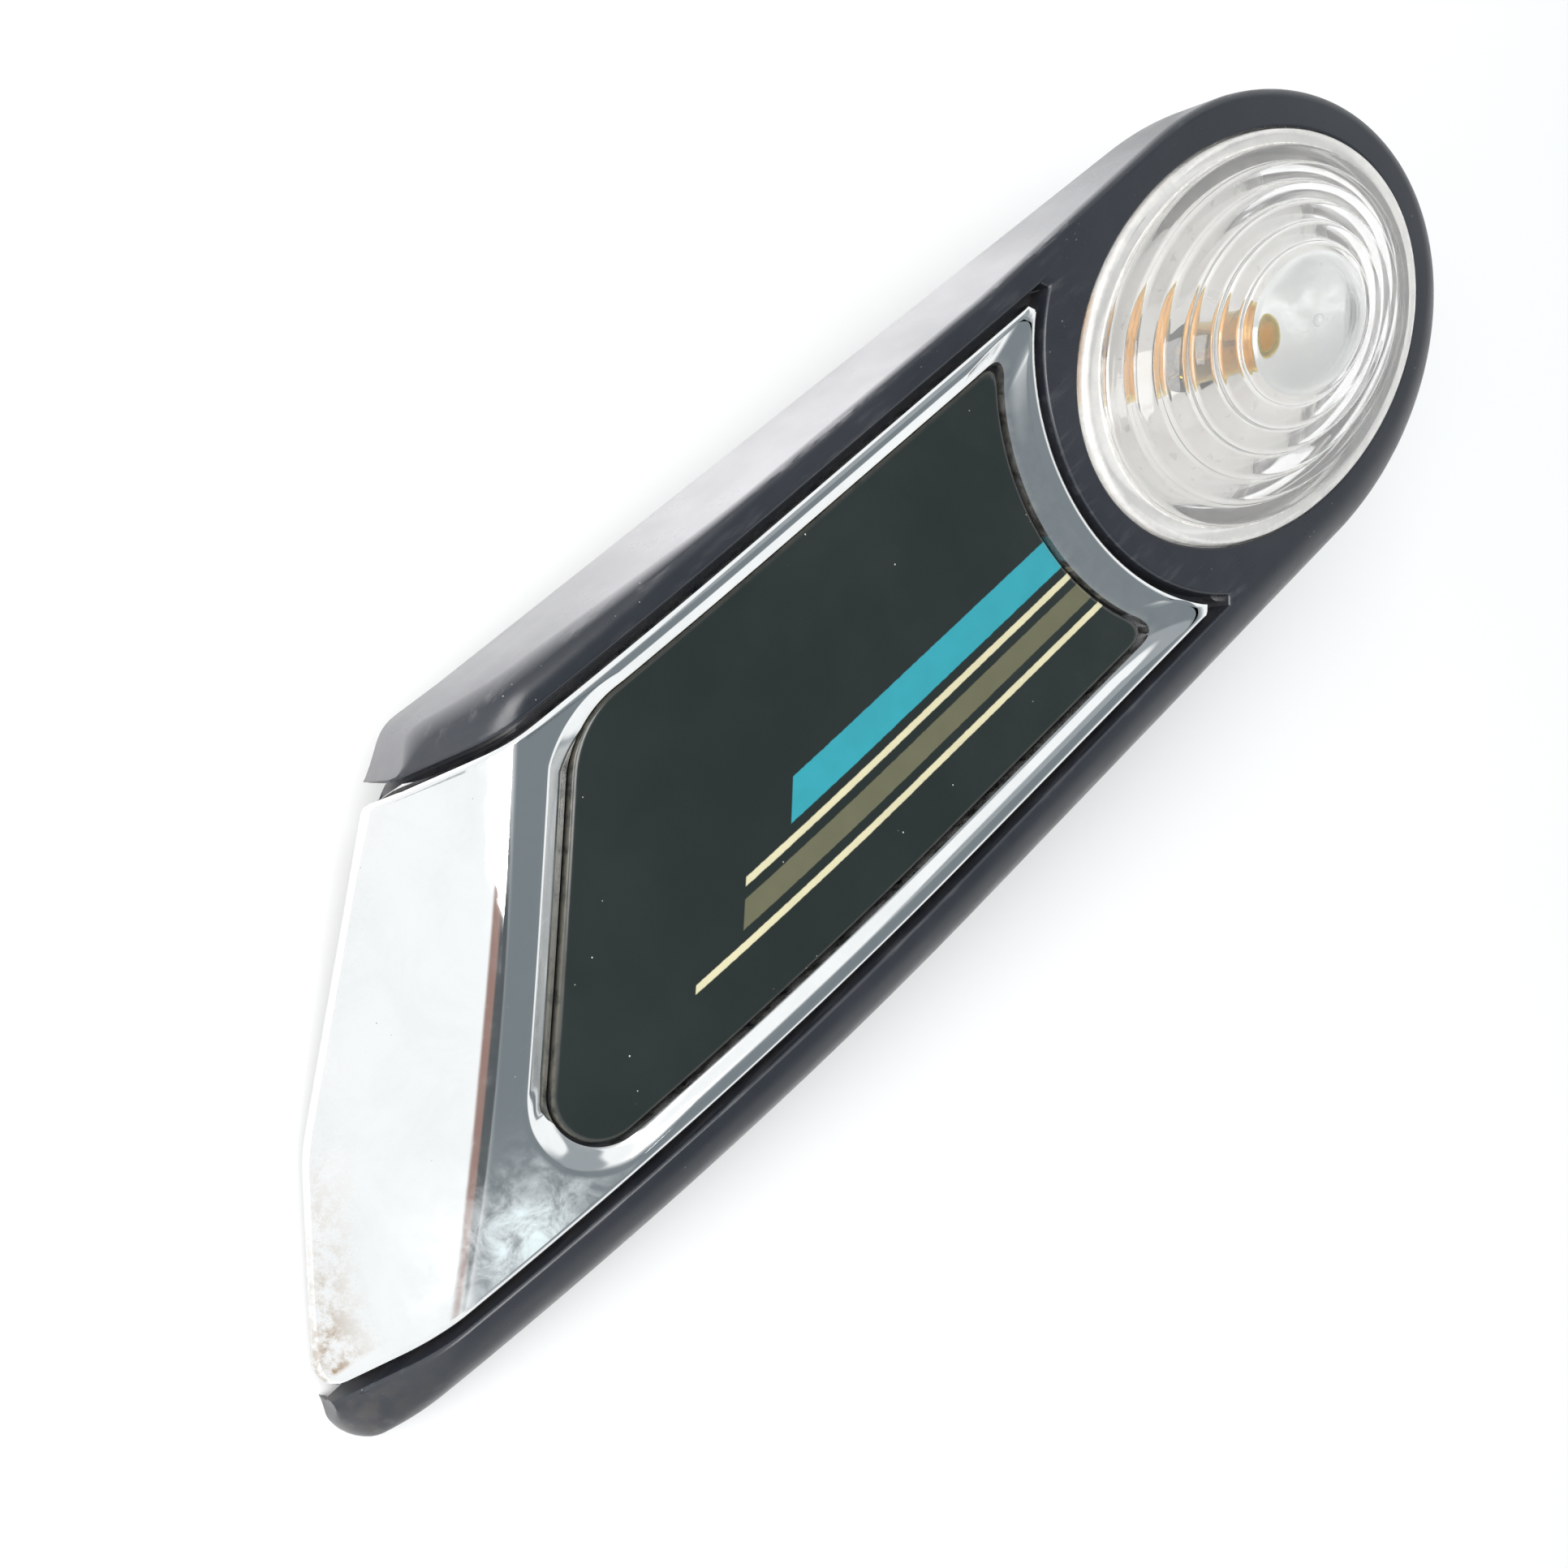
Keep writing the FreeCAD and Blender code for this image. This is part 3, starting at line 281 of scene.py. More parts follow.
# ---------------------------------------------------------------- materials
class Mat:
    def __init__(self, name):
        self.m = bpy.data.materials.new(name)
        self.m.use_nodes = True
        self.t = self.m.node_tree
        self.b = self.t.nodes["Principled BSDF"]
        self.co = self.t.nodes.new("ShaderNodeTexCoord").outputs["Object"]

    def put(self, node, key, val):
        s = node.inputs[key]
        if isinstance(val, bpy.types.NodeSocket):
            self.t.links.new(val, s)
        else:
            s.default_value = val

    def noise(self, scale, detail=3.0, rough=0.55, co=None, distortion=0.0):
        n = self.t.nodes.new("ShaderNodeTexNoise")
        self.put(n, "Vector", co or self.co)
        self.put(n, "Scale", scale)
        self.put(n, "Detail", detail)
        self.put(n, "Roughness", rough)
        self.put(n, "Distortion", distortion)
        return n.outputs["Fac"]

    def cells(self, scale, feature="F1", out="Distance", co=None):
        n = self.t.nodes.new("ShaderNodeTexVoronoi")
        n.feature = feature
        self.put(n, "Vector", co or self.co)
        self.put(n, "Scale", scale)
        return n.outputs[out]

    def stretch(self, x, y, z, turn=(0, 0, 0)):
        n = self.t.nodes.new("ShaderNodeMapping")
        self.put(n, "Vector", self.co)
        n.inputs["Scale"].default_value = (x, y, z)
        n.inputs["Rotation"].default_value = turn
        return n.outputs["Vector"]

    def span(self, v, a, b, c=0.0, d=1.0, smooth=True):
        n = self.t.nodes.new("ShaderNodeMapRange")
        n.interpolation_type = "SMOOTHSTEP" if smooth else "LINEAR"
        for k, x in (("Value", v), ("From Min", a), ("From Max", b), ("To Min", c), ("To Max", d)):
            self.put(n, k, x)
        return n.outputs["Result"]

    def math(self, op, a, b=None, c=None):
        n = self.t.nodes.new("ShaderNodeMath")
        n.operation = op
        for i, x in enumerate((a, b, c)):
            if x is not None:
                self.put(n, i, x)
        return n.outputs[0]

    def mix(self, f, a, b):
        n = self.t.nodes.new("ShaderNodeMix")
        n.data_type = "RGBA"
        for i, x in ((0, f), (6, a), (7, b)):
            if not isinstance(x, bpy.types.NodeSocket) and i:
                x = (*x, 1.0)
            self.put(n, i, x)
        return n.outputs[2]

    def attr(self, name):
        n = self.t.nodes.new("ShaderNodeAttribute")
        n.attribute_name = name
        return n.outputs["Fac"]

    def xyz(self):
        n = self.t.nodes.new("ShaderNodeSeparateXYZ")
        self.put(n, 0, self.co)
        return n.outputs

    def bump(self, height, strength, dist, after=None):
        n = self.t.nodes.new("ShaderNodeBump")
        n.inputs["Strength"].default_value = strength
        n.inputs["Distance"].default_value = dist
        self.put(n, "Height", height)
        if after:
            self.put(n, "Normal", after)
        return n.outputs["Normal"]

    def set(self, **kw):
        names = {"color": "Base Color", "rough": "Roughness", "metal": "Metallic", "normal": "Normal", "trans": "Transmission Weight",
                 "ior": "IOR", "coat": "Coat Weight", "coat_rough": "Coat Roughness", "spec": "Specular IOR Level", "sub": "Subsurface Weight"}
        for k, v in kw.items():
            if k == "color" and not isinstance(v, bpy.types.NodeSocket):
                v = (*v, 1.0)
            self.put(self.b, names[k], v)
        return self.m


def moulded(name, dark, light, r0, r1, grain=5200, scuffs=False):
    m = Mat(name)
    cloud = m.span(m.noise(60, 4), 0.35, 0.7)
    col = m.mix(cloud, dark, light)
    dust = m.math("MULTIPLY", m.span(m.cells(900), 0.085, 0.05), m.span(m.noise(140, 2), 0.56, 0.66))
    rough = m.span(m.noise(160, 5, 0.6), 0.3, 0.7, r0, r1)
    if scuffs:
        # Painted sheen: a pale colour laid on the upper outer wall that stands in for its grazing reflection of the
        # white floor.
        film = m.math("MULTIPLY", m.attr("film"), m.span(m.noise(55, 4), 0.25, 0.75, 0.75, 1.0))
        col = m.mix(m.math("MULTIPLY", film, 0.72), col, (0.60, 0.595, 0.615))
        streak = m.noise(700, 4, 0.65, m.stretch(0.16, 1.0, 1.0))
        worn = m.math("MULTIPLY", m.attr("scuff"), m.span(streak, 0.50, 0.68))
        col = m.mix(m.math("MULTIPLY", worn, 0.42), col, (0.42, 0.42, 0.43))
        rough = m.math("ADD", rough, m.math("MULTIPLY", worn, 0.22))
        grime = m.math("MULTIPLY", m.attr("dirt"), m.span(m.noise(420, 5, 0.65), 0.36, 0.62))
        col = m.mix(m.math("MULTIPLY", grime, 0.75), col, (0.125, 0.092, 0.060))
        rough = m.math("ADD", rough, m.math("MULTIPLY", grime, 0.35))
    col = m.mix(m.math("MULTIPLY", dust, 0.55), col, (0.42, 0.42, 0.40))
    n = m.bump(m.noise(grain, 2), 0.05, 0.0002)
    return m.set(color=col, rough=rough, normal=n)


def plated(name):
    m = Mat(name)
    haze = m.noise(95, 6, 0.62, distortion=0.6)
    scr = m.noise(900, 3, 0.7, m.stretch(0.06, 1.0, 1.0, (0, 0, 0.5)))
    rough = m.math("ADD", m.span(haze, 0.38, 0.72, 0.035, 0.14), m.span(scr, 0.60, 0.78, 0.0, 0.06))
    tint = m.mix(m.span(haze, 0.35, 0.7), (0.875, 0.885, 0.89), (0.82, 0.838, 0.848))
    grime = m.math("MULTIPLY", m.attr("dirt"), m.span(m.noise(520, 6, 0.68), 0.34, 0.62))
    speck = m.math("MULTIPLY", m.span(m.cells(620), 0.07, 0.04), m.span(m.noise(90, 2), 0.58, 0.66))
    cover = m.math("MAXIMUM", m.math("MULTIPLY", grime, 0.85), m.math("MULTIPLY", speck, 0.6))
    cloud = m.math("MULTIPLY", m.attr("haze"), m.span(m.noise(260, 9, 0.66, distortion=0.5), 0.30, 0.70))
    col = m.mix(m.span(cover, 0.0, 0.72, smooth=False), tint, (0.25, 0.19, 0.13))
    col = m.mix(m.math("MULTIPLY", cloud, 0.85), col, (0.57, 0.69, 0.71))
    metal = m.math("SUBTRACT", 1.0, m.math("MAXIMUM", m.math("MULTIPLY", cover, 0.6), m.math("MULTIPLY", cloud, 0.75)))
    rough = m.math("ADD", rough, m.math("MULTIPLY", cover, 0.15))
    n = m.bump(m.noise(70, 3), 0.035, 0.0012)
    return m.set(color=col, metal=metal, rough=rough, normal=n)


def printed(name):
    """Dark plate with a few plain lengthwise stripes that end on a slant."""
    m = Mat(name)
    x, y, z = m.xyz()
    base = m.mix(m.span(m.noise(45, 3), 0.35, 0.7), (0.0105, 0.0150, 0.0143), (0.0138, 0.0188, 0.0180))
    wob = m.span(m.noise(1500, 2), 0.3, 0.7, -0.00003, 0.00003, smooth=False)
    yy = m.math("ADD", y, wob)

    def stripe(lo, hi, tail, soft=0.00007):
        a = m.span(yy, lo - soft, lo + soft)
        b = m.span(yy, hi + soft, hi - soft)
        edge = m.math("SUBTRACT", x, m.math("MULTIPLY", y, 0.829))
        c = m.span(edge, tail - 0.0001, tail + 0.0001)
        return m.math("MULTIPLY", m.math("MULTIPLY", a, b), c)

    col = base
    for lo, hi, tail, c in ((-0.0052, -0.0012, -0.0170, (0.026, 0.235, 0.285)),
                            (-0.0071, -0.0063, -0.0240, (0.480, 0.455, 0.300)),
                            (-0.0108, -0.0082, -0.0240, (0.098, 0.098, 0.060)),
                            (-0.0127, -0.0119, -0.0310, (0.480, 0.455, 0.300))):
        ink = m.mix(m.span(m.noise(240, 4), 0.3, 0.7), c, tuple(0.92 * k for k in c))
        col = m.mix(stripe(lo, hi, tail), col, ink)
    speck = m.math("MULTIPLY", m.span(m.cells(520), 0.062, 0.035), m.span(m.noise(120, 2), 0.55, 0.63))
    hair = m.math("MULTIPLY", m.span(m.noise(420, 3, 0.7, m.stretch(0.05, 1.0, 1.0, (0, 0, 0.9))), 0.70, 0.76), m.span(m.noise(30, 2), 0.5, 0.65))
    col = m.mix(m.math("MAXIMUM", m.math("MULTIPLY", speck, 0.7), m.math("MULTIPLY", hair, 0.10)), col, (0.62, 0.62, 0.58))
    edge = m.math("MULTIPLY", m.attr("dirt"), m.span(m.noise(600, 4), 0.22, 0.58))
    col = m.mix(m.math("MULTIPLY", edge, 0.6), col, (0.28, 0.255, 0.21))
    rough = m.span(m.noise(130, 5, 0.6), 0.3, 0.72, 0.16, 0.27)
    n = m.bump(m.noise(1800, 2), 0.02, 0.0002)
    return m.set(color=col, rough=rough, normal=n)


def clear(name, tint, r0, r1, ior, dirt=False):
    m = Mat(name)
    col = m.mix(m.span(m.noise(80, 3), 0.3, 0.7), tint, tuple(0.985 * k for k in tint))
    scr = m.noise(500, 3, 0.7, m.stretch(0.08, 1.0, 1.0, (0, 0, 0.35)))
    rough = m.math("ADD", m.span(m.noise(170, 4), 0.35, 0.7, r0, r1), m.span(scr, 0.66, 0.78, 0.0, 0.05))
    if dirt:
        grime = m.math("MULTIPLY", m.attr("dirt"), m.span(m.noise(380, 5, 0.65), 0.30, 0.66))
        frost = m.attr("frost")
        col = m.mix(m.math("MULTIPLY", grime, 0.55), col, (0.60, 0.55, 0.45))
        rough = m.math("ADD", rough, m.math("ADD", m.math("MULTIPLY", grime, 0.30), m.math("MULTIPLY", frost, 0.22)))
        # Painted shade: the dome of the clear lens is tinted grey to stand in for the darker lamp interior seen
        # through it.
        col = m.mix(m.math("MULTIPLY", m.attr("dome"), 0.95), col, (0.60, 0.635, 0.64))
        veil = m.math("ADD", m.math("MULTIPLY", grime, 0.4), m.math("MULTIPLY", frost, 0.55))
        m.set(trans=m.math("SUBTRACT", 0.93, veil))
    else:
        m.set(trans=1.0)
    n = m.bump(m.noise(260, 2), 0.015, 0.0004)
    return m.set(color=col, rough=rough, ior=ior, normal=n)


def metal(name, a, b, r0, r1, scale=220, share=1.0):
    m = Mat(name)
    col = m.mix(m.span(m.noise(scale, 4), 0.35, 0.68), a, b)
    rough = m.span(m.noise(scale * 2.2, 4, 0.6), 0.3, 0.7, r0, r1)
    return m.set(color=col, metal=share, rough=rough, normal=m.bump(m.noise(2600, 2), 0.04, 0.0001))


BLACK = moulded("black_plastic", (0.0138, 0.0163, 0.0216), (0.0178, 0.0203, 0.0260), 0.26, 0.36, scuffs=True)
BRIGHT = plated("plated_trim")
PRINT = printed("inlay_print")
LENS = clear("clear_lens", (0.985, 0.985, 0.975), 0.0, 0.02, 1.49, dirt=True)
AMBER = clear("amber_glass", (0.93, 0.60, 0.02), 0.03, 0.07, 1.5)
SILVER = metal("reflector_metal", (0.97, 0.97, 0.97), (0.95, 0.955, 0.96), 0.26, 0.42, 160, 0.12)
HOUSING = moulded("housing_plastic", (0.030, 0.030, 0.033), (0.042, 0.042, 0.045), 0.42, 0.58)
HOLDER = moulded("holder_plastic", (0.085, 0.085, 0.090), (0.110, 0.110, 0.114), 0.45, 0.60)
RUBBER = moulded("gasket_rubber", (0.014, 0.014, 0.014), (0.022, 0.022, 0.022), 0.66, 0.82, 2600)
FOAM = moulded("seal_foam", (0.028, 0.028, 0.030), (0.046, 0.046, 0.048), 0.80, 0.95, 1500)
STEEL = metal("zinc_steel", (0.56, 0.57, 0.58), (0.48, 0.485, 0.50), 0.24, 0.42)
SPRING = metal("spring_steel", (0.27, 0.28, 0.30), (0.21, 0.215, 0.23), 0.26, 0.44)
BRASS = metal("contact_brass", (0.74, 0.57, 0.27), (0.66, 0.49, 0.22), 0.20, 0.36)
WIRE = metal("lead_wire", (0.60, 0.58, 0.55), (0.50, 0.485, 0.46), 0.22, 0.38, 900)

for node, mat in (("inlay_tape", FOAM), ("lens_gasket", RUBBER), ("lamp_housing", HOUSING), ("bulb_glass", AMBER),
                  ("bulb_filament", WIRE), ("bulb_leads", WIRE), ("bulb_holder", HOLDER), ("holder_seal", RUBBER),
                  ("terminals", BRASS), ("lamp_screws", STEEL), ("push_nuts", SPRING), ("fender_clips", SPRING), ("edge_seals", FOAM)):
    ob = NODES[node]
    ob.data.materials.clear()
    ob.data.materials.append(mat)

# -------------------------------------------------------------- bright frame
N = sum(COUNTS)
SIDE = np.repeat(np.arange(4), COUNTS)
TURN = np.concatenate([np.arange(n) / n for n in COUNTS])


def blend_sides(vals, carry=0.0):
    """One number per station from one per side, eased across the corners."""
    v = np.array([vals[1 if s == 2 and t < carry else s] for s, t in zip(SIDE, TURN)], float)
    k = 15
    pad = np.r_[v[-k:], v, v[:k]]
    return np.convolve(pad, np.ones(2 * k + 1) / (2 * k + 1), "same")[k:-k]


b = Build()
LIP = blend_sides((0.85, 0.30, 0.85, 0.80))      # width of the rounded outer lip
LIPH = blend_sides((0.62, 0.24, 0.62, 0.55))
COVE = blend_sides((1.25, 3.20, 1.90, 3.00), 0.07)     # width of the hollow inner edge
COVED = blend_sides((0.56, 2.15, 0.95, 0.95))
FLATC = blend_sides((1.0, 1.0, 0.2, 0.85))
edge0, edge1 = loop(frame_sides(0.0)), loop(frame_sides(-0.9))
inw = (edge1 - edge0) / 0.9
win0, win1 = loop(inlay_sides(0.45)), loop(inlay_sides(3.95))
outw = (win1 - win0) / 3.5
REAR_LOW = np.clip((-edge0[:, 0] - 80.0) / 14.0, 0, 1) * (SIDE == 1)

rows = []
zc = face(edge0[:, 0], edge0[:, 1], RISE)
zf = np.maximum(face(edge0[:, 0], edge0[:, 1], -1.95), skirt(edge0[:, 0]) - 1.9)
zf = np.minimum(zf, zc - 1.0)
zf = np.where(SIDE == 1, zc - 1.0, zf)
near = np.clip((TURN - 0.945) / 0.04, 0, 1) * (SIDE == 0)
zf = zf * (1 - near) + (zc - 1.0) * near
dirt_low = 0.25 + 0.75 * REAR_LOW
for q in (0.0, 0.5, 1.0):
    rows.append(b.add(at(edge0, zf + (zc - LIPH - zf) * q), dirt=np.where(SIDE == 1, 0.02 + 0.40 * REAR_LOW, 0.08 * (1 - 0.5 * q))))
for t in np.linspace(0, math.pi / 2, 9)[1:]:
    p = edge0 + inw * (LIP * (1 - math.cos(t)))[:, None]
    z = face(p[:, 0], p[:, 1], RISE) - LIPH * (1 - math.sin(t))
    rows.append(b.add(at(p, z), dirt=np.where(SIDE == 1, 0.03 + 0.60 * REAR_LOW, 0.05)))
lip_in = edge0 + inw * LIP[:, None]
cove_out = win0 + outw * COVE[:, None]
K = 46
for i in range(1, K + 1):
    s = i / (K + 1)
    p = lip_in * (1 - s) + cove_out * s
    far = np.clip(1 - s * 4.5, 0, 1) * (SIDE == 1)
    mist = np.exp(-((p[:, 0] + 71.0) / 8.5) ** 2 - ((p[:, 1] + 20.0) / 5.5) ** 2)
    rows.append(b.add(at(p, face(p[:, 0], p[:, 1], RISE)), dirt=far * (0.06 + 0.94 * REAR_LOW), haze=mist))
for t in np.linspace(0, 1, 15):
    p = win0 + outw * (COVE * (1 - t))[:, None]
    dip = COVED * ((1 - FLATC) * (0.5 - 0.5 * math.cos(math.pi * min(1.0, t * 0.62 + 0.38 * t * t))) + FLATC * (t * t / 0.2 if t < 0.1 else t - 0.05) / 0.95)
    rows.append(b.add(at(p, face(p[:, 0], p[:, 1], RISE) - dip), dirt=0.03 + 0.14 * max(0, t - 0.8) * 5))
zi = face(win0[:, 0], win0[:, 1], -1.9)
rows.append(b.add(at(win0, zi), dirt=0.1))
b.grid(rows, closed=True)
b.bridge(rows[-1], rows[0], True)
b.make("bright_frame", ["trim_frame"], BRIGHT, sharp=44)

# --------------------------------------------------------------------- inlay
def coons(up, rear, lo, front):
    """A grid between four sides that run anticlockwise from the upper front corner."""
    n, m = len(up), len(rear)
    top, left, bot, right = up[::-1], rear, lo, front[::-1]
    u, v = np.linspace(0, 1, n)[None, :, None], np.linspace(0, 1, m)[:, None, None]
    g = (1 - v) * top[None] + v * bot[None] + (1 - u) * left[:, None] + u * right[:, None]
    g = g - ((1 - u) * (1 - v) * top[0] + u * (1 - v) * top[-1] + (1 - u) * v * bot[0] + u * v * bot[-1])
    return g


def patch_sides(sides, n, m):
    up, rear, lo, front = sides
    return spread(up, n), spread(rear, m), spread(lo, n), spread(front, m)


def ring_of(g):
    """Grid border ids, in order."""
    return list(g[0, :]) + list(g[1:, -1]) + list(g[-1, -2::-1]) + list(g[-2:0:-1, 0])


b = Build()
NI, MI = 110, 60
cut = 0.55
grids = []
for inset, dz in ((cut, 0.0),):
    g = coons(*patch_sides(inlay_sides(-inset), NI, MI))
    ids = b.add(at(g.reshape(-1, 2), face(g[..., 0].ravel(), g[..., 1].ravel(), 0.0)), dirt=0.0).reshape(MI, NI)
    b.grid([ids[i] for i in range(MI)])
    prev = ring_of(ids)
for t in np.linspace(0, math.pi / 2, 6)[1:]:
    off = cut * (1 - math.sin(t))
    g = coons(*patch_sides(inlay_sides(-off), NI, MI))
    ring = np.array(ring_of(np.arange(NI * MI).reshape(MI, NI)))
    p = g.reshape(-1, 2)[ring]
    cur = b.add(at(p, face(p[:, 0], p[:, 1], 0.0) - 0.42 * (1 - math.cos(t))), dirt=0.05 + 0.55 * math.sin(t) ** 5)
    b.bridge(prev, cur)
    prev = cur
g = coons(*patch_sides(inlay_sides(0.0), NI, MI))
p = g.reshape(-1, 2)[ring]
cur = b.add(at(p, face(p[:, 0], p[:, 1], -1.38)), dirt=0.15)
b.bridge(prev, cur)
low = b.add(at(g.reshape(-1, 2), face(g[..., 0].ravel(), g[..., 1].ravel(), -1.38)), dirt=0.15).reshape(MI, NI)
b.grid([low[i] for i in range(MI)])
b.make("inlay_plate", ["inlay"], PRINT, sharp=50)

# ------------------------------------------------------------- carrier: rims
b = Build()
RF = 0.42            # rounding of the groove's upper edge


def flare(x):
    u = -42.0 - np.asarray(x, float)
    h = 3.4
    return 0.1136 * np.where(u < -h, 0, np.where(u > h, u, (u + h) ** 2 / (4 * h)))


def groove_front(off):
    return frame_sides(1.1 + off)[3][::-1]          # upper tip to lower tip


NT, NS, NA, NN = 34, 120, 140, 190
HU = frame_sides(1.1 + RF)[3][-1]
HL = frame_sides(1.1 + RF)[3][0]
# upper strip, from the tail's tip to the horn
o_tail = spread(rounded([(-40.0, 28.6), (-47.2, 28.6), (-52.0, 24.83)], [5.0]), NT)[::-1]
o_up = np.vstack([o_tail[:-1], np.c_[np.linspace(-40.0, HU[0], NS), np.full(NS, 28.6)]])
gx_up = np.r_[np.linspace(-52.1, -40.0, NT)[:-1], np.linspace(-40.0, HU[0], NS)]
o_nose = np.vstack([np.c_[np.linspace(HU[0], CX, 40), np.full(40, 28.6)][:-1],
                    np.array([(CX + 39.5 * math.cos(a), -1.2 + 29.8 * math.sin(a)) for a in np.linspace(math.pi / 2, -math.pi / 2, NN)]),
                    np.c_[np.linspace(CX, HL[0], 40), np.full(40, -31.0)][1:]])
l_tail = spread(rounded([(-84.0, -31.0), (-96.1, -31.0), (-96.35, -27.4), (-95.5, -25.3)], [2.6, 1.2]), NT)
o_lo = np.vstack([np.c_[np.linspace(HL[0], -84.0, NS), np.full(NS, -31.0)][:-1], l_tail])
gx_lo = np.r_[np.linspace(HL[0], -84.0, NS)[:-1], np.linspace(-84.0, -95.3, NT)]
O = np.vstack([o_up, o_nose[1:-1], o_lo])
nu, nl = len(o_up), len(o_lo)
first_lo = len(O) - nl


def groove(off):
    """Points along the groove's outer edge, upper tail to lower tail."""
    front = spread(groove_front(off), NA)
    up = np.c_[np.r_[gx_up[:-1], front[0, 0]], 23.6 + off + flare(np.r_[gx_up[:-1], front[0, 0]])]
    lo = np.c_[np.r_[front[-1, 0], gx_lo[1:]], np.full(len(gx_lo), -24.5 - off)]
    return np.vstack([up, front[1:-1], lo])


G = groove(0.0)
gfirst_lo = len(G) - nl
inn = np.zeros_like(O)
d = np.gradient(O, axis=0)
inn = np.c_[d[:, 1], -d[:, 0]]
inn /= np.linalg.norm(inn, axis=1)[:, None]
for i in range(nu):
    q = G[i] - O[i]
    w = np.linalg.norm(q)
    f = min(1.0, max(0.0, (O[i, 0] + 52.0) / 10.0))
    inn[i] = unit(q / max(w, 1e-6) * (1 - f) + np.array([0.0, -1.0]) * f)
for j in range(nl):
    q = G[gfirst_lo + j] - O[first_lo + j]
    w = np.linalg.norm(q)
    f = min(1.0, max(0.0, (O[first_lo + j, 0] + 97.0) / 10.0))
    inn[first_lo + j] = unit(q / max(w, 1e-6) * (1 - f) + np.array([0.0, 1.0]) * f)
WID = np.full(len(O), 9.0)
WID[:nu] = np.linalg.norm(G[:nu] - O[:nu], axis=1)
WID[first_lo:] = np.linalg.norm(G[gfirst_lo:] - O[first_lo:], axis=1)
share = np.clip((28.6 - O[:, 1]) / 59.6, 0, 1)
rear = np.clip((-O[:, 0] - 2.0) / 40.0, 0, 1)
rear = rear * rear * (3 - 2 * rear)
WH = (1.15 + 2.25 * rear) * (1 - share ** 1.3) + 6.0 * share ** 1.3
WV = (1.25 + 2.25 * rear) * (1 - share ** 1.3) + 6.5 * share ** 1.3
LEAN = 1.7 * np.clip(1 - 1.6 * share, 0, 1) * (1 - 0.65 * rear) * np.clip((86.0 - O[:, 0]) / 50.0, 0, 1)
LEAN = np.minimum(LEAN, 0.34 * WID)
WH = np.minimum(WH, np.maximum(WID - LEAN - RF - 0.12, 0.1))
WV = np.minimum(WV, np.maximum(1.15 * WH + 0.2, 0.2))
tail = np.clip((-O[:, 0] - 80.0) / 16.0, 0, 1)
ZB = skirt(O[:, 0]) - 2.6 * tail * tail * (3 - 2 * tail)
tail_u = np.clip((-O[:, 0] - 40.0) / 13.0, 0, 1) * (O[:, 1] > 0)
ZB = ZB - 1.6 * tail_u
# How strongly the upper outer wall is painted lighter, strongest at the front and fading to the tail: a painted
# reflection of the white floor at grazing angles.
PAINTED_SHEEN = np.where(O[:, 1] > 0, np.clip(0.95 - np.maximum(-O[:, 0] - 12.0, 0) / 56.0 - np.maximum(O[:, 0] - 45.0, 0) / 45.0, 0.0, 1.0), 0.0) * np.clip((O[:, 1] - 5.0) / 15.0, 0, 1)


def outer_row(dist, drop, low=None, scuff=0.0, dirt=0.0, film=0.0):
    p = O + inn * np.asarray(dist)[..., None] if np.ndim(dist) else O + inn * dist
    z = face(p[:, 0], p[:, 1], RISE) - drop
    z = np.maximum(z, ZB + 0.55)
    return b.add(at(p, z if low is None else low), scuff=scuff, dirt=dirt, film=film)


TAILD = np.clip((-O[:, 0] - 84.0) / 12.0, 0, 1) * 0.8 + np.clip((-O[:, 0] - 46.0) / 8.0, 0, 1) * (O[:, 1] > 0) * 0.45
TH = np.minimum(2.2, WID * 0.6)
rows = []
p = O + inn * TH[:, None]
rows.append(b.add(at(p, ZB), dirt=0.3))
rows.append(b.add(at(O + inn * np.minimum(0.5, TH * 0.4)[:, None], ZB), dirt=0.3))
rows.append(b.add(at(O + inn * np.minimum(0.14, TH * 0.15)[:, None], ZB + 0.14), dirt=0.2))
foot = O + inn * LEAN[:, None]
zs = np.maximum(face(foot[:, 0], foot[:, 1], RISE) - WV, ZB + 0.55)
for q in (0.0, 0.34, 0.67):
    rows.append(b.add(at(O + inn * (LEAN * q)[:, None], ZB + 0.5 + (zs - ZB - 0.5) * q), scuff=0.12, dirt=0.10 * TAILD, film=PAINTED_SHEEN))
crest = np.clip(1 - np.abs(O[:, 0] - 25) / 75, 0, 1) * (O[:, 1] > 0) * 0.8 + 0.15
for t in np.linspace(0, math.pi / 2, 15):
    rows.append(outer_row(LEAN + WH * (1 - math.cos(t)), WV * (1 - math.sin(t)), scuff=crest * math.exp(-((t - 0.75) / 0.34) ** 2), dirt=0.2 * TAILD, film=PAINTED_SHEEN * max(0.0, 1 - t / 0.9)))
b.grid(rows, closed=False)
top_out, low_in = rows[-1], rows[0]
# the groove's edge and wall
grow_rows = []
for t in np.linspace(0, math.pi / 2, 6):
    p = groove(RF * (1 - math.sin(t)))
    z = face(p[:, 0], p[:, 1], RISE) - RF * (1 - math.cos(t))
    grow_rows.append(b.add(at(p, np.maximum(z, skirt(p[:, 0]) + 0.5)), scuff=0.10, dirt=0.0))
gz = np.maximum(face(G[:, 0], G[:, 1], -2.2), skirt(G[:, 0]) + 0.35)
gu = np.maximum(face(G[:, 0], G[:, 1], -4.2), skirt(G[:, 0]))
grow_rows.append(b.add(at(G, gz), dirt=0.3))
grow_rows.append(b.add(at(G, np.minimum(gu, gz - 0.1)), dirt=0.8))
b.grid(grow_rows, closed=False)
g_top, g_low = grow_rows[0], grow_rows[-1]
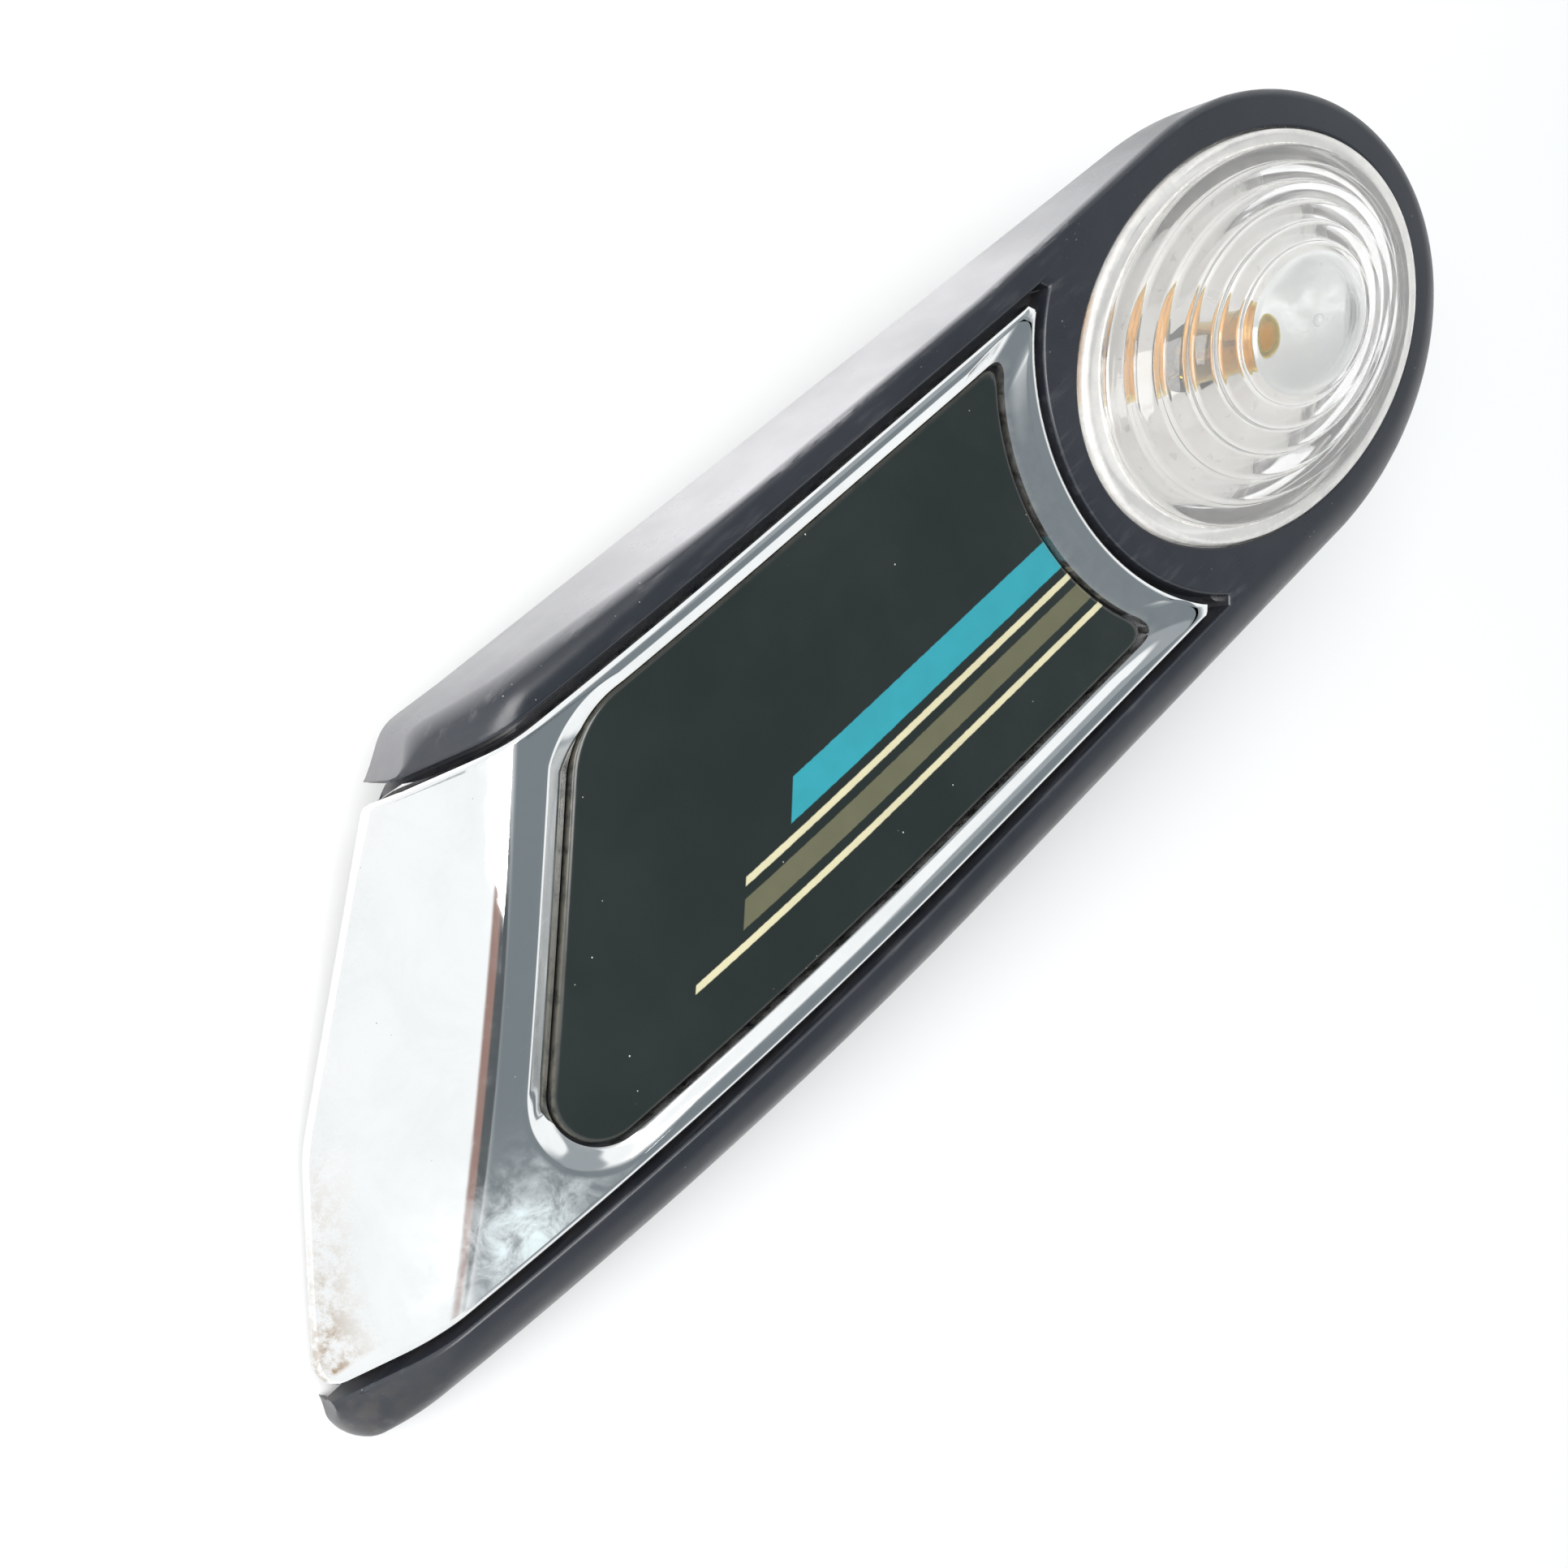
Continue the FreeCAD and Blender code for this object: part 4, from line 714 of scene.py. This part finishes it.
# the strips' tops
for sl_o, sl_g in ((slice(0, nu), slice(0, nu)), (slice(first_lo, len(O)), slice(gfirst_lo, len(G)))):
    a, c = top_out[sl_o], g_top[sl_g]
    pa, pc = np.array([b.v[i] for i in a]), np.array([b.v[i] for i in c])
    prev = a
    for s in (0.33, 0.67):
        q = pa * (1 - s) + pc * s
        lo_lim = skirt(q[:, 0]) + 0.5
        q[:, 2] = np.maximum(face(q[:, 0], q[:, 1], RISE), lo_lim)
        cur = b.add(q, scuff=0.06, dirt=0.0)
        b.bridge(prev, cur, False)
        prev = cur
        if s == 0.33:
            m1 = cur
    m2 = cur
    b.bridge(prev, c, False)
    # underside of the strip
    pl = np.array([b.v[i] for i in low_in[sl_o]])
    inz = np.maximum(np.array([b.v[i][2] for i in g_low[sl_g]]), pl[:, 2])
    up_in = b.add(np.c_[pl[:, :2], inz], dirt=0.2)
    b.bridge(low_in[sl_o], up_in, False)
    b.bridge(up_in, g_low[sl_g], False)
    if sl_o.start == 0:
        join_u = (top_out[nu - 1], m1[-1], m2[-1], g_top[nu - 1], g_low[nu - 1], up_in[-1])
        tip_u = [r[0] for r in rows] + [m1[0], m2[0]] + [r[0] for r in grow_rows] + [up_in[0]]
    else:
        join_l = (top_out[first_lo], m1[0], m2[0], g_top[gfirst_lo], g_low[gfirst_lo], up_in[0])
        tip_l = [r[-1] for r in rows] + [m1[-1], m2[-1]] + [r[-1] for r in grow_rows] + [up_in[-1]]
b.face(tip_u[::-1])
b.face(tip_l)
# the nose: inner skirt, deck, hole for the lens
nose = np.arange(nu - 1, first_lo + 1)
DECK_LOW = float(b.v[int(g_low[nu + NA // 2])][2])
pl = np.array([b.v[i] for i in low_in[nose]])
skirt_top = list(b.add(np.c_[pl[1:-1, :2], np.full(len(pl) - 2, DECK_LOW)], dirt=0.2))
skirt_top = [join_u[5]] + skirt_top + [join_l[5]]
b.bridge(low_in[nose], np.array(skirt_top), False)
NE = 220
ang = np.linspace(0, 2 * math.pi, NE, endpoint=False)


def oval(off, z, **kw):
    return b.add(np.c_[CX + (LA + off) * np.cos(ang), (LB + off) * np.sin(ang), np.full(NE, z)], **kw)


hole = [oval(0.28 + 0.35 * (1 - math.sin(t)), FACE + RISE - 0.35 * (1 - math.cos(t)), dirt=0.0) for t in np.linspace(0, math.pi / 2, 6)]
hole += [oval(0.28, 12.25, dirt=0.4), oval(2.5, 12.25, dirt=0.6), oval(2.5, DECK_LOW, dirt=0.4)]
b.grid(hole, closed=True)
top_loop = list(top_out[nose]) + [join_l[1], join_l[2]] + list(g_top[nu - 1:gfirst_lo + 1][::-1]) + [join_u[2], join_u[1]]
low_loop = list(skirt_top) + list(g_low[nu - 1:gfirst_lo + 1][::-1])
b.make("carrier_rim", ["carrier"], BLACK, sharp=40,
       fill=[([int(i) for i in top_loop], [int(i) for i in hole[0]]), ([int(i) for i in low_loop], [int(i) for i in hole[-1]])])

# ------------------------------------------------------ carrier: floor, studs
b = Build()
NF, MF = 120, 40
fs = frame_sides(0.7)
g = coons(spread(fs[0], NF), spread(fs[1], MF), spread(fs[2], NF), spread(frame_sides(1.4)[3], MF))
g[..., 0] += 3.2 * (1 - np.linspace(0, 1, NF)[None, :]) ** 7
g[..., 1] -= 2.2 * (1 - np.linspace(0, 1, NF)[None, :]) ** 40 * (1 - np.linspace(0, 1, MF)[:, None]) ** 6
px, py = g[..., 0].ravel(), g[..., 1].ravel()
zt = np.maximum(face(px, py, -2.05), skirt(px) + 0.2)
zl = np.minimum(np.maximum(face(px, py, -4.2), skirt(px)), zt - 0.4)
hi_ids = b.add(np.c_[px, py, zt], dirt=0.10).reshape(MF, NF)
lo_ids = b.add(np.c_[px, py, zl], dirt=0.2).reshape(MF, NF)
b.grid([hi_ids[i] for i in range(MF)])
b.grid([lo_ids[i][::-1] for i in range(MF)])
b.bridge(ring_of(hi_ids), ring_of(lo_ids))


def post(x, y, rad, z0, z1, edge, n=56):
    t = np.linspace(0, 2 * math.pi, n, endpoint=False)
    prof = [(rad - edge, z0)] + [(rad - edge + edge * math.sin(q), z0 + edge * (1 - math.cos(q))) for q in np.linspace(0, math.pi / 2, 6)[1:]] + [(rad, z1)]
    rr = [b.add(np.c_[x + r * np.cos(t), y + r * np.sin(t), np.full(n, z)], dirt=0.15) for r, z in prof]
    b.grid(rr, closed=True)
    b.face(rr[0][::-1])
    b.face(rr[-1])


def bar(x0, x1, y0, y1, z0, z1, e=0.25):
    """A plate with rounded lower edges."""
    rr = []
    for d, z in ((e, z0), (e * 0.3, z0 + e * 0.3), (0.0, z0 + e), (0.0, z1)):
        c = [(x0 + d, y0 + d), (x1 - d, y0 + d), (x1 - d, y1 - d), (x0 + d, y1 - d)]
        rr.append(b.add([(p[0], p[1], z) for p in c], dirt=0.1))
    b.grid(rr, closed=True)
    b.face(rr[0][::-1])
    b.face(rr[-1])


for x in (-28.0, 28.0):
    post(x, 0.0, 6.0, 0.0, 9.4, 0.4)
    post(x, 0.0, 3.0, -12.0, 0.3, 0.6)
for x, y, top in ((-54.0, -6.0, 5.6), (9.0, 0.0, 9.4)):
    bar(x - 4, x + 4, y - 0.8, y + 0.8, -9.0, top)
for x, z in ((-14.0, 5.6), (20.0, 5.9)):
    bar(x - 0.8, x + 0.8, -28.9, 26.5, z, z + 3.6)
b.make("carrier_back", ["carrier"], BLACK, sharp=36)

# ---------------------------------------------------------------------- lens
b = Build()
NL = 256
la = np.linspace(0, 2 * math.pi, NL, endpoint=False)


def lens_row(a, c, z, dirt=0.0, frost=0.0, dome=0.0):
    return b.add(np.c_[CX + a * np.cos(la), c * np.sin(la), np.full(NL, z)], dirt=dirt, frost=frost, dome=dome)


def shr(s):
    return LA * s, LB * s


prof = []       # (a, b, z, dirt), from the inside foot, over the outside, to the inside crown


def put(s, z, dirt=0.0):
    prof.append((*shr(s), z, dirt))


prof += [(LA - 2.2, LB - 2.2, 9.25, 0.2), (LA + 1.8, LB + 1.8, 9.25, 0.2), (LA + 1.8, LB + 1.8, 11.15, 0.2), (LA, LB, 11.15, 0.3), (LA, LB, 14.2, 0.35)]
for t in np.linspace(0, math.pi / 2, 7):
    prof.append((LA - 0.75 * (1 - math.cos(t)), LB - 0.75 * (1 - math.cos(t)), 14.45 + 0.75 * math.sin(t), 0.30))
RINGS = [(0.918, 15.2, 16.25), (0.826, 16.45, 17.95), (0.716, 18.15, 19.55), (0.606, 19.72, 21.02), (0.496, 21.16, 22.30), (0.392, 22.40, 23.10)]
for i, (s, z0, z1) in enumerate(RINGS):
    grime = 0.75 if i == 0 else 0.10
    if i == 0:
        for w in (0.968, 0.955, 0.940, 0.928):
            prof.append((*shr(w), z0 - 0.02, 0.12))
    put(s + 0.004, z0 + 0.0, grime)
    put(s, z0 + 0.10, grime)
    h = z1 - z0
    w = 0.026
    put(s - 0.004, z0 + 0.45 * h, grime * 0.3)
    for t in np.linspace(0, math.pi / 2, 7):
        put(s - 0.006 - w * (1 - math.cos(t)), z0 + h * (0.45 + 0.55 * math.sin(t)), 0.03)
    if i + 1 < len(RINGS):
        ns, nz = RINGS[i + 1][0], RINGS[i + 1][1]
        put((s - 0.032 + ns) / 2 + 0.005, (z1 + nz) / 2 + 0.02, 0.05)
        put(ns + 0.012, nz - 0.01, 0.10)
put(0.345, 23.14, 0.1)
put(0.336, 23.20, 0.05)
for t in np.linspace(0.10, 1.0, 18):
    put(0.332 * math.cos(t * math.pi / 2), 23.22 + 1.50 * math.sin(t * math.pi / 2) ** 1.0, 0.0) if t < 0.97 else None
put(0.030, 24.715)
put(0.022, 24.74)
put(0.016, 24.785)
crown = [prof[-1]]
# Rows above z 23.19 carry the dome's painted grey shade.
rows = [lens_row(*q, frost=0.55 if q[2] < 14.0 else 0.42 if q[2] < 15.25 else 0.0, dome=1.0 if q[2] > 23.19 else 0.0) for q in prof]
tip = b.add([(CX, 0.0, 24.79)])[0]
for k in range(NL):
    b.face((rows[-1][k], rows[-1][(k + 1) % NL], tip))
b.grid(rows, closed=True)
inner = [(LA - 2.2, LB - 2.2, 9.25)]
ctl = [(1 - 2.2 / LA, 9.25), (1 - 2.6 / LA, 12.4), (0.80, 14.9), (0.70, 16.2), (0.60, 17.55), (0.50, 18.75), (0.40, 19.85), (0.30, 20.75), (0.20, 21.4), (0.10, 21.78)]
cs = np.array([c[0] for c in ctl])[::-1]
cz = np.array([c[1] for c in ctl])[::-1]
ss = np.linspace(cs[-1], 0.02, 46)
zz = np.interp(ss, cs, cz)
zz = np.convolve(np.r_[np.full(3, zz[0]), zz, np.full(3, zz[-1])], np.ones(7) / 7, "valid")
zz[0] = 9.25
ins = [rows[0]]
for s, z in zip(ss[1:], zz[1:]):
    f = np.clip((s - 0.6) / 0.3, 0, 1)
    a_, b_ = LA * s, (LB * s) * (1 - f) + (LB - (LA - LA * s)) * f
    ins.append(lens_row(a_, b_, float(z)))
b.grid([r[::-1] for r in ins], closed=True)
end = b.add([(CX, 0.0, float(zz[-1]) + 0.02)])[0]
for k in range(NL):
    b.face((ins[-1][(k + 1) % NL], ins[-1][k], end))
b.make("lens_clear", ["lens"], LENS, sharp=62)

# ----------------------------------------------------------------- reflector
b = Build()
NR = 200
ra = np.linspace(0, 2 * math.pi, NR, endpoint=False)
rows = []


def bowl_row(a, c, z):
    return b.add(np.c_[CX + a * np.cos(ra), c * np.sin(ra), np.full(NR, z)])


def bowl(t, gap):
    return 13.7 + gap + (LA - 2.7 - 13.7) * t, 11.7 + gap + (LB - 2.7 - 11.7) * t, -6.0 - gap + 14.2 * t + 0.5 * math.exp(-t * 14)


rows.append(bowl_row(6.45, 6.45, -6.95))
rows.append(bowl_row(6.45, 6.45, -6.05))
rows.append(bowl_row(6.7, 6.7, -5.98))
rows.append(bowl_row(11.4, 9.6, -5.98))
rows.append(bowl_row(12.8, 10.9, -5.82))
for t in np.linspace(0.0, 1.0, 34):
    rows.append(bowl_row(*bowl(t, 0.0)))
a1, c1, z1 = bowl(1.0, 0.0)
rows.append(bowl_row(a1, c1, 8.85))
rows.append(bowl_row(a1 + 0.1, c1 + 0.1, 8.98))
rows.append(bowl_row(a1 + 1.0, c1 + 1.0, 8.98))
rows.append(bowl_row(a1 + 1.1, c1 + 1.1, 8.85))
for t in np.linspace(1.0, 0.0, 30):
    a_, c_, z_ = bowl(t, 0.95)
    rows.append(bowl_row(min(a_, a1 + 1.1), min(c_, c1 + 1.1), z_))
b.grid(rows, closed=True)
b.bridge(rows[-1], rows[0], True)
b.make("reflector_bowl", ["reflector"], SILVER, sharp=50)

# --------------------------------------------------------- floor, light, view
me = bpy.data.meshes.new("floor")
s = 3.0


def floor_z(x):
    """The part leans on its bulb holder and on its tail."""
    return TAIL_Z + (HOLD_Z - TAIL_Z) * (x - TAIL_X) / (HOLD_X - TAIL_X)


TAIL_X, TAIL_Z = -0.0963, -0.00955
HOLD = [v.co for v in NODES["bulb_holder"].data.vertices]
HOLD_Z = min(c.z for c in HOLD) - 0.0001
HOLD_X = min(c.x for c in HOLD if c.z < HOLD_Z + 0.0004)


me.from_pydata([(-s, -s, floor_z(-s)), (s, -s, floor_z(s)), (s, s, floor_z(s)), (-s, s, floor_z(-s))], [], [(0, 1, 2, 3)])
floor = bpy.data.objects.new("floor", me)
bpy.context.scene.collection.objects.link(floor)
fm = Mat("pale_floor")
fm.set(color=fm.mix(fm.span(fm.noise(6, 3), 0.3, 0.7), (0.700, 0.711, 0.715), (0.716, 0.726, 0.729)), rough=0.7)
me.materials.append(fm.m)


def softbox(name, at_mm, aim_mm, w, h, power, color=(1, 1, 1)):
    l = bpy.data.lights.new(name, "AREA")
    l.shape = "RECTANGLE"
    l.size, l.size_y = w, h
    l.energy, l.color = power, color
    o = bpy.data.objects.new(name, l)
    p, q = Vector(at_mm) * MM, Vector(aim_mm) * MM
    o.location = p
    o.rotation_euler = (q - p).to_track_quat("-Z", "Y").to_euler()
    bpy.context.scene.collection.objects.link(o)
    return o


softbox("key", (-350, 420, 900), (0, 0, 0), 0.70, 0.70, 10.5, (1.0, 0.985, 0.975))
softbox("fill", (-620, 330, 330), (0, 0, 0), 0.50, 0.50, 3.2, (1.0, 0.985, 0.985)).visible_glossy = False

w = bpy.data.worlds.new("studio")
bpy.context.scene.world = w
w.use_nodes = True
t = w.node_tree
bg = t.nodes["Background"]
tc = t.nodes.new("ShaderNodeTexCoord")
nz = t.nodes.new("ShaderNodeVectorMath")
nz.operation = "NORMALIZE"
t.links.new(tc.outputs["Generated"], nz.inputs[0])


def towards(v, a, bb):
    dn = t.nodes.new("ShaderNodeVectorMath")
    dn.operation = "DOT_PRODUCT"
    t.links.new(nz.outputs[0], dn.inputs[0])
    dn.inputs[1].default_value = Vector(v).normalized()
    mr = t.nodes.new("ShaderNodeMapRange")
    mr.interpolation_type = "SMOOTHSTEP"
    t.links.new(dn.outputs["Value"], mr.inputs["Value"])
    mr.inputs["From Min"].default_value = a
    mr.inputs["From Max"].default_value = bb
    return mr.outputs["Result"]


def wmix(f, a, c):
    n = t.nodes.new("ShaderNodeMix")
    n.data_type = "RGBA"
    t.links.new(f, n.inputs[0])
    for i, x in ((6, a), (7, c)):
        if isinstance(x, bpy.types.NodeSocket):
            t.links.new(x, n.inputs[i])
        else:
            n.inputs[i].default_value = (*x, 1.0)
    return n.outputs[2]


sky = wmix(towards((0.22, -0.38, 0.90), 0.74, 0.93), (0.985, 1.0, 1.0), (0.200, 0.230, 0.248))
sky = wmix(towards((-0.50, 0.02, 0.86), 0.972, 0.990), sky, (0.34, 0.22, 0.19))
sky = wmix(towards((-0.37, -0.13, 0.92), 0.980, 0.992), sky, (0.10, 0.112, 0.12))
sky = wmix(towards((0.62, 0.14, 0.77), 0.93, 0.965), sky, (0.34, 0.37, 0.39))
t.links.new(sky, bg.inputs["Color"])
bg.inputs["Strength"].default_value = 0.93

cam = bpy.data.cameras.new("camera")
cam.lens, cam.sensor_width = 46.58, 36.0
cam.clip_start, cam.clip_end = 0.005, 20.0
co = bpy.data.objects.new("camera", cam)
right, up, back = Vector((0.661, -0.517, 0.543)), Vector((0.622, 0.783, -0.013)), Vector((-0.419, 0.346, 0.839))
back.normalize()
right = (right - back * right.dot(back)).normalized()
up = back.cross(right)
m4 = Matrix((right, up, back)).transposed().to_4x4()
m4.translation = Vector((-112.88, 76.04, 199.86)) * MM
co.matrix_world = m4
bpy.context.scene.collection.objects.link(co)
bpy.context.scene.camera = co
bpy.context.scene.view_settings.view_transform = "Standard"
bpy.context.scene.view_settings.exposure = 0.22
